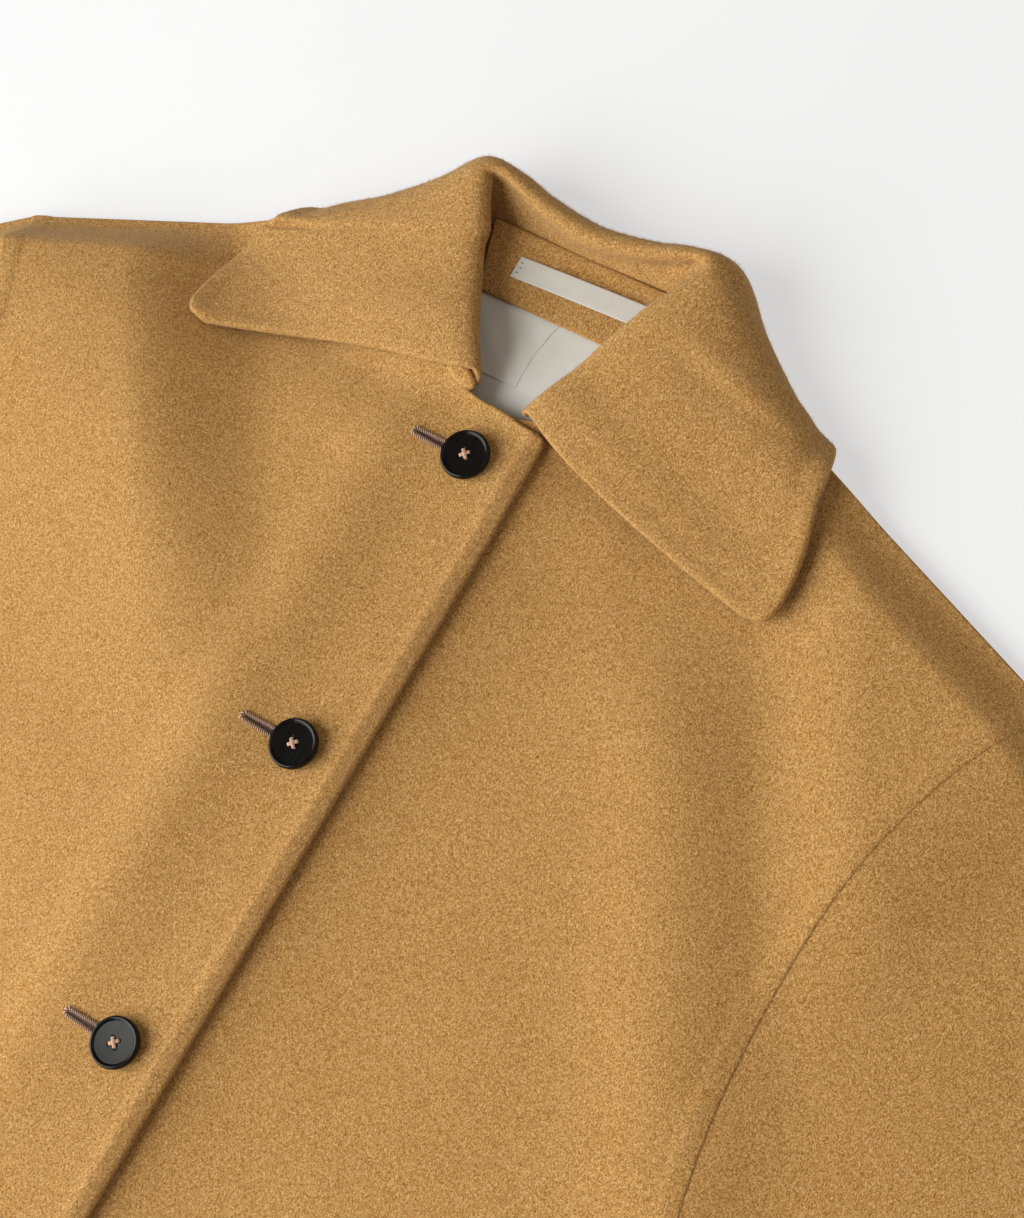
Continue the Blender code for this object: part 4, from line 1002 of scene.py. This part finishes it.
def drilled(obj, place):
    """The button less four round drills."""
    bm = bmesh.new()
    for sx in (-1, 1):
        for sy in (-1, 1):
            made = bmesh.ops.create_cone(bm, cap_ends=True, segments=24, radius1=HOLE_R, radius2=HOLE_R,
                                         depth=DRILL_LONG)
            spot = place + HOME + np.array([sx, sy, 0.0]) * HOLE_OFF
            bmesh.ops.translate(bm, verts=made["verts"], vec=tuple(spot))
    mesh = bpy.data.meshes.new("drill")
    bm.to_mesh(mesh)
    bm.free()
    drill = bpy.data.objects.new("drill", mesh)
    bpy.context.scene.collection.objects.link(drill)
    cut = obj.modifiers.new("holes", "BOOLEAN")
    cut.operation, cut.solver, cut.object = "DIFFERENCE", "EXACT", drill
    bpy.context.view_layer.update()
    done = bpy.data.meshes.new_from_object(obj.evaluated_get(bpy.context.evaluated_depsgraph_get()))
    obj.modifiers.clear()
    obj.data = done
    bpy.data.objects.remove(drill, do_unlink=True)


BUTTON_POINTS, BUTTON_FACES = turned_points()
BUTTON_PLACES = []
for number in range(BUTTON_COUNT):
    node = "button_%d" % (number + 1)
    low, high = (np.array(corner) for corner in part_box(node))
    place = np.array([(low[0] + high[0]) / 2, (low[1] + high[1]) / 2, low[2]]) - HOME
    BUTTON_PLACES.append(place)
    button = put_mesh(node + "_turned", BUTTON_POINTS + place, BUTTON_FACES, BLACK)
    drilled(button, place)
    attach(button, "root")
    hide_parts(node)
print("buttons:", BUTTON_COUNT, "of", len(button.data.polygons), "faces")

# %% Button threads
THREAD_R, STRANDS, STRAND_STEP, THREAD_RISE = 0.00026, 5, 0.00034, 0.0009
# The strands cross from hole to hole on both diagonals: turn and rise of each bundle
STRAND_TURNS = ((pi / 4, 0.6), (-pi / 4, 1.0))
# Height over the button's back, dive into the holes and the span it takes, then steepness and narrowing at
# the ends
STRAND_UP, STRAND_DIVE, DIVE_SPAN, STRAND_STEEP, STRAND_PINCH = 0.0038, 0.0024, (0.70, 1.0), 2.6, 0.45


def strand(place, turn, offset, rise):
    """Thread from one hole over the face to the hole across: a line that dives at both ends."""
    t = np.linspace(-1, 1, 41)
    reach = HOLE_OFF * 2 ** 0.5
    ahead = np.array([cos(turn), sin(turn), 0.0])
    beside = np.array([-sin(turn), cos(turn), 0.0])
    along = reach * np.tanh(STRAND_STEEP * t) / np.tanh(STRAND_STEEP)
    up = STRAND_UP + rise * (1 - t ** 2) - STRAND_DIVE * smooth(*DIVE_SPAN, np.abs(t))
    spread = offset * (1 - STRAND_PINCH * t ** 2)
    path = place + along[:, None] * ahead + spread[:, None] * beside
    path = path + up[:, None] * np.array([0.0, 0.0, 1.0])
    return tube(path, beside, THREAD_R, 8)


for number, place in enumerate(BUTTON_PLACES):
    parts = []
    for turn, share in STRAND_TURNS:
        for k in range(STRANDS):
            crown = 1.2 - 0.12 * abs(k - STRANDS // 2)
            parts.append(strand(place, turn, (k - STRANDS // 2) * STRAND_STEP, THREAD_RISE * share * crown))
    thread = put_mesh("button_thread_%d" % (number + 1), *joined(parts), TAN_THREAD)
    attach(thread, "root")
print("threads:", len(BUTTON_PLACES))

# %% Buttonholes
HOLE_END_X, HOLE_START_X, HOLE_NARROW, HOLE_WIDE, CORD_R = -0.0290, -0.0040, 0.0017, 0.0024, 0.00095
CORD_TURNS, CORD_RIDGE, CORD_SIDES, CORD_SIT = 25.0, 0.26, 16, 0.4
# Share of the loop that goes round the end; the slit's face above and back below the cloth's face
ROUND_PART, SLIT_ABOVE, SLIT_BELOW = 0.07, 0.00012, 0.0003


def keyhole_path(y):
    """Loop round the slit: in along one side, round the end, out along the other, lying on the cloth."""
    t = np.linspace(-1, 1, 361)
    s = np.clip((np.abs(t) - ROUND_PART) / (1 - ROUND_PART), 0, 1)
    bend = np.clip(np.abs(t) / ROUND_PART, 0, 1) * pi / 2
    half = HOLE_NARROW + (HOLE_WIDE - HOLE_NARROW) * s
    x = HOLE_END_X + (HOLE_START_X - HOLE_END_X) * s - HOLE_NARROW * np.cos(bend)
    yy = y + np.sign(t) * half * np.sin(bend)
    return np.stack([x, yy, front_top(-1.0, x, yy) + CORD_SIT * CORD_R], axis=-1)


for number, place in enumerate(BUTTON_PLACES):
    path = keyhole_path(place[1])
    points, faces = tube(path, np.array([0.0, 0.0, 1.0]), CORD_R, CORD_SIDES, twist=CORD_TURNS,
                         ridges=CORD_RIDGE)
    cord = put_mesh("buttonhole_cord_%d" % (number + 1), points, faces, BROWN_CORD_PAINTED_SHADE)
    # Stand-out of each point, read by the twist's finish to paint shade between the strands and a highlight
    # on their crowns.
    stand_out = np.linalg.norm(points - np.repeat(path, CORD_SIDES, axis=0), axis=1)
    ply = cord.data.attributes.new("ply", "FLOAT", "POINT")
    ply.data.foreach_set("value", (stand_out / CORD_R - 1 + CORD_RIDGE) / (2 * CORD_RIDGE))
    # The slit is a thin dark sheet on the uncut cloth: painted shade in the cut of the buttonhole.
    u, v = np.linspace(0.0, 1.0, 40)[:, None], np.linspace(-1, 1, 9)[None, :]
    x = HOLE_END_X + (HOLE_START_X - HOLE_END_X) * u + 0 * v
    yy = place[1] + (HOLE_NARROW + (HOLE_WIDE - HOLE_NARROW) * u) * v
    z = front_top(-1.0, x, yy)
    slit = closed_sheet("buttonhole_painted_shade_slit_%d" % (number + 1), np.stack([x, yy, z + SLIT_ABOVE], axis=-1),
                        np.stack([x, yy, z - SLIT_BELOW], axis=-1), SLIT_PAINTED_SHADE, rim_steps=3)
    for piece in (cord, slit):
        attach(piece, "root")
print("buttonholes:", len(BUTTON_PLACES))

# %% [markdown]
# ## Stray hairs
# Brushed wool never has a clean outline: loose hairs stand out of it and soften its edges. Each hair here is
# a thin spike with three sides, and the spikes are spread by chance, evenly for the area of the cloth.

# %% Stray hairs
# Length from and to, radius, share of the lean, depth of the root, seed of the chance
HAIR_LONG, HAIR_R, HAIR_LEAN, HAIR_ROOT, HAIR_SEED = (0.0008, 0.0023), 0.00008, 0.9, 0.0003, 7
# Number of hairs and lower end of the collar's and the front edge's; width of the front edge's strip
COLLAR_HAIRS, COLLAR_HAIRS_Y, EDGE_HAIRS, EDGE_HAIRS_Y, HAIR_STRIP = 36000, -0.05, 12000, -0.45, 0.006


def stray_hairs(name, cloth, count, keep):
    """Spikes with root = a + s (b - a) + (t - s) (c - a), s below t, on triangles picked by area.

    keep says from a triangle's middle whether it may carry hairs."""
    chance = np.random.default_rng(HAIR_SEED)
    cloth.data.calc_loop_triangles()
    corners = np.zeros(3 * len(cloth.data.loop_triangles), dtype=np.int32)
    cloth.data.loop_triangles.foreach_get("vertices", corners)
    points = np.zeros(3 * len(cloth.data.vertices))
    cloth.data.vertices.foreach_get("co", points)
    a, b, c = np.swapaxes(points.reshape(-1, 3)[corners.reshape(-1, 3)], 0, 1)
    out = np.cross(b - a, c - a)
    area = np.linalg.norm(out, axis=1) * (out[:, 2] > 0) * keep((a + b + c) / 3 - HOME)
    pick = chance.choice(len(area), count, p=area / area.sum())
    s, t = np.sort(chance.random((2, count, 1)), axis=0)
    a, b, c, out = a[pick], b[pick], c[pick], unit(out[pick])
    way = unit(out + HAIR_LEAN * unit(chance.normal(size=(count, 3))))
    root = a + s * (b - a) + (t - s) * (c - a) - HAIR_ROOT * way
    tip = root + way * (HAIR_ROOT + chance.uniform(*HAIR_LONG, (count, 1)))
    side = unit(np.cross(way, chance.normal(size=(count, 3))))
    ring = [root + HAIR_R * (side * cos(k) + np.cross(way, side) * sin(k)) for k in 2 * pi * np.arange(3) / 3]
    index = 4 * np.arange(count)[:, None]
    faces = [index + np.array(three) for three in ((0, 1, 3), (1, 2, 3), (2, 0, 3))]
    hairs = put_mesh(name, np.stack([*ring, tip], axis=1).reshape(-1, 3) - HOME, faces, STRAY_WOOL)
    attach(hairs, "root")
    print(name, count, "hairs")


stray_hairs("collar_stray_hairs", collar, COLLAR_HAIRS, lambda middle: middle[:, 1] > COLLAR_HAIRS_Y)
stray_hairs("front_edge_stray_hairs", bpy.data.objects["front_right_cloth"], EDGE_HAIRS,
            lambda middle: (middle[:, 0] > EDGE_X - HAIR_STRIP) & (middle[:, 1] > EDGE_HAIRS_Y))

# %% [markdown]
# ## Floor, light and camera
# The coat lies on a pale studio floor. A large soft light stands low at the left, so the folds show; a weak
# second one and a warm fill all round stand for the walls. The floor glows a little, as a lit backdrop does.
# The camera looks down on the collar from the wearer's left, turned, as in a close-up of the coat.

# %% Floor
FLOOR, FLOOR_DROP, FLOOR_GLOW = 4.0, 0.0002, 0.54
floor_finish = Finish("pale_floor")
grain = floor_finish.noise(6.0, 2.0)
stops = ((0.3, (0.36, 0.36, 0.365)), (0.7, (0.38, 0.38, 0.385)))
floor_finish.set(Base_Color=floor_finish.ramp(grain, stops), Roughness=0.9, Specular_IOR_Level=0.1,
                 Emission_Color=(0.985, 1.0, 1.02, 1.0), Emission_Strength=FLOOR_GLOW)
corners = np.array([(-FLOOR, -FLOOR, 0.0), (FLOOR, -FLOOR, 0.0), (FLOOR, FLOOR, 0.0), (-FLOOR, FLOOR, 0.0)])
corners = corners - np.array([0.0, 0.0, FLOOR_DROP])
floor = put_mesh("floor", corners, [np.arange(4)[None]], floor_finish.material)

# %% Light
FILL_COLOUR, FILL_STRENGTH = (1.0, 0.87, 0.73, 1.0), 0.22
AIM = np.array([0.06, -0.02, 0.0])


def soft_light(name, way, far, size, power, colour):
    """Square soft light at a distance from the collar, in a direction, facing it."""
    data = bpy.data.lights.new(name, "AREA")
    data.shape, data.size, data.energy, data.color = "SQUARE", size, power, colour
    obj = bpy.data.objects.new(name, data)
    way = unit(np.array(way))
    side = unit(np.cross(np.array([0.0, 1.0, 0.2]), way))
    axes = np.stack([side, np.cross(way, side), way], axis=1)
    matrix = np.eye(4)
    matrix[:3, :3] = axes
    matrix[:3, 3] = HOME + AIM + way * far
    obj.matrix_world = Matrix(matrix.tolist())
    bpy.context.scene.collection.objects.link(obj)


soft_light("window_light", (-0.62, -0.66, 0.50), 2.2, 2.6, 114.0, (1.0, 1.0, 0.985))
soft_light("wall_light", (0.55, 0.35, 0.75), 2.2, 2.0, 7.0, (1.0, 0.96, 0.90))
world = bpy.data.worlds.new("studio")
world.use_nodes = True
world.node_tree.nodes["Background"].inputs["Color"].default_value = FILL_COLOUR
world.node_tree.nodes["Background"].inputs["Strength"].default_value = FILL_STRENGTH
bpy.context.scene.world = world
bpy.context.scene.view_settings.view_transform = "Standard"

# %% Camera
# Right, up and ahead in the picture, then the place of the eye, measured from the top button
VIEW_RIGHT = np.array([0.8198, 0.5043, -0.2712])
VIEW_UP = np.array([-0.4268, 0.8539, 0.2978])
VIEW_AHEAD = np.array([-0.3818, 0.1284, -0.9153])
VIEW_FROM = np.array([0.4787, -0.1960, 1.0254])
LENS, PICTURE_HIGH = 69.46, 36.0
camera = bpy.data.cameras.new("camera")
camera.lens, camera.sensor_fit, camera.sensor_height = LENS, "VERTICAL", PICTURE_HIGH
eye = bpy.data.objects.new("camera", camera)
matrix = np.eye(4)
matrix[:3, :3] = np.stack([VIEW_RIGHT, VIEW_UP, -VIEW_AHEAD], axis=1)
matrix[:3, 3] = VIEW_FROM + HOME
eye.matrix_world = Matrix(matrix.tolist())
bpy.context.scene.collection.objects.link(eye)
bpy.context.scene.camera = eye
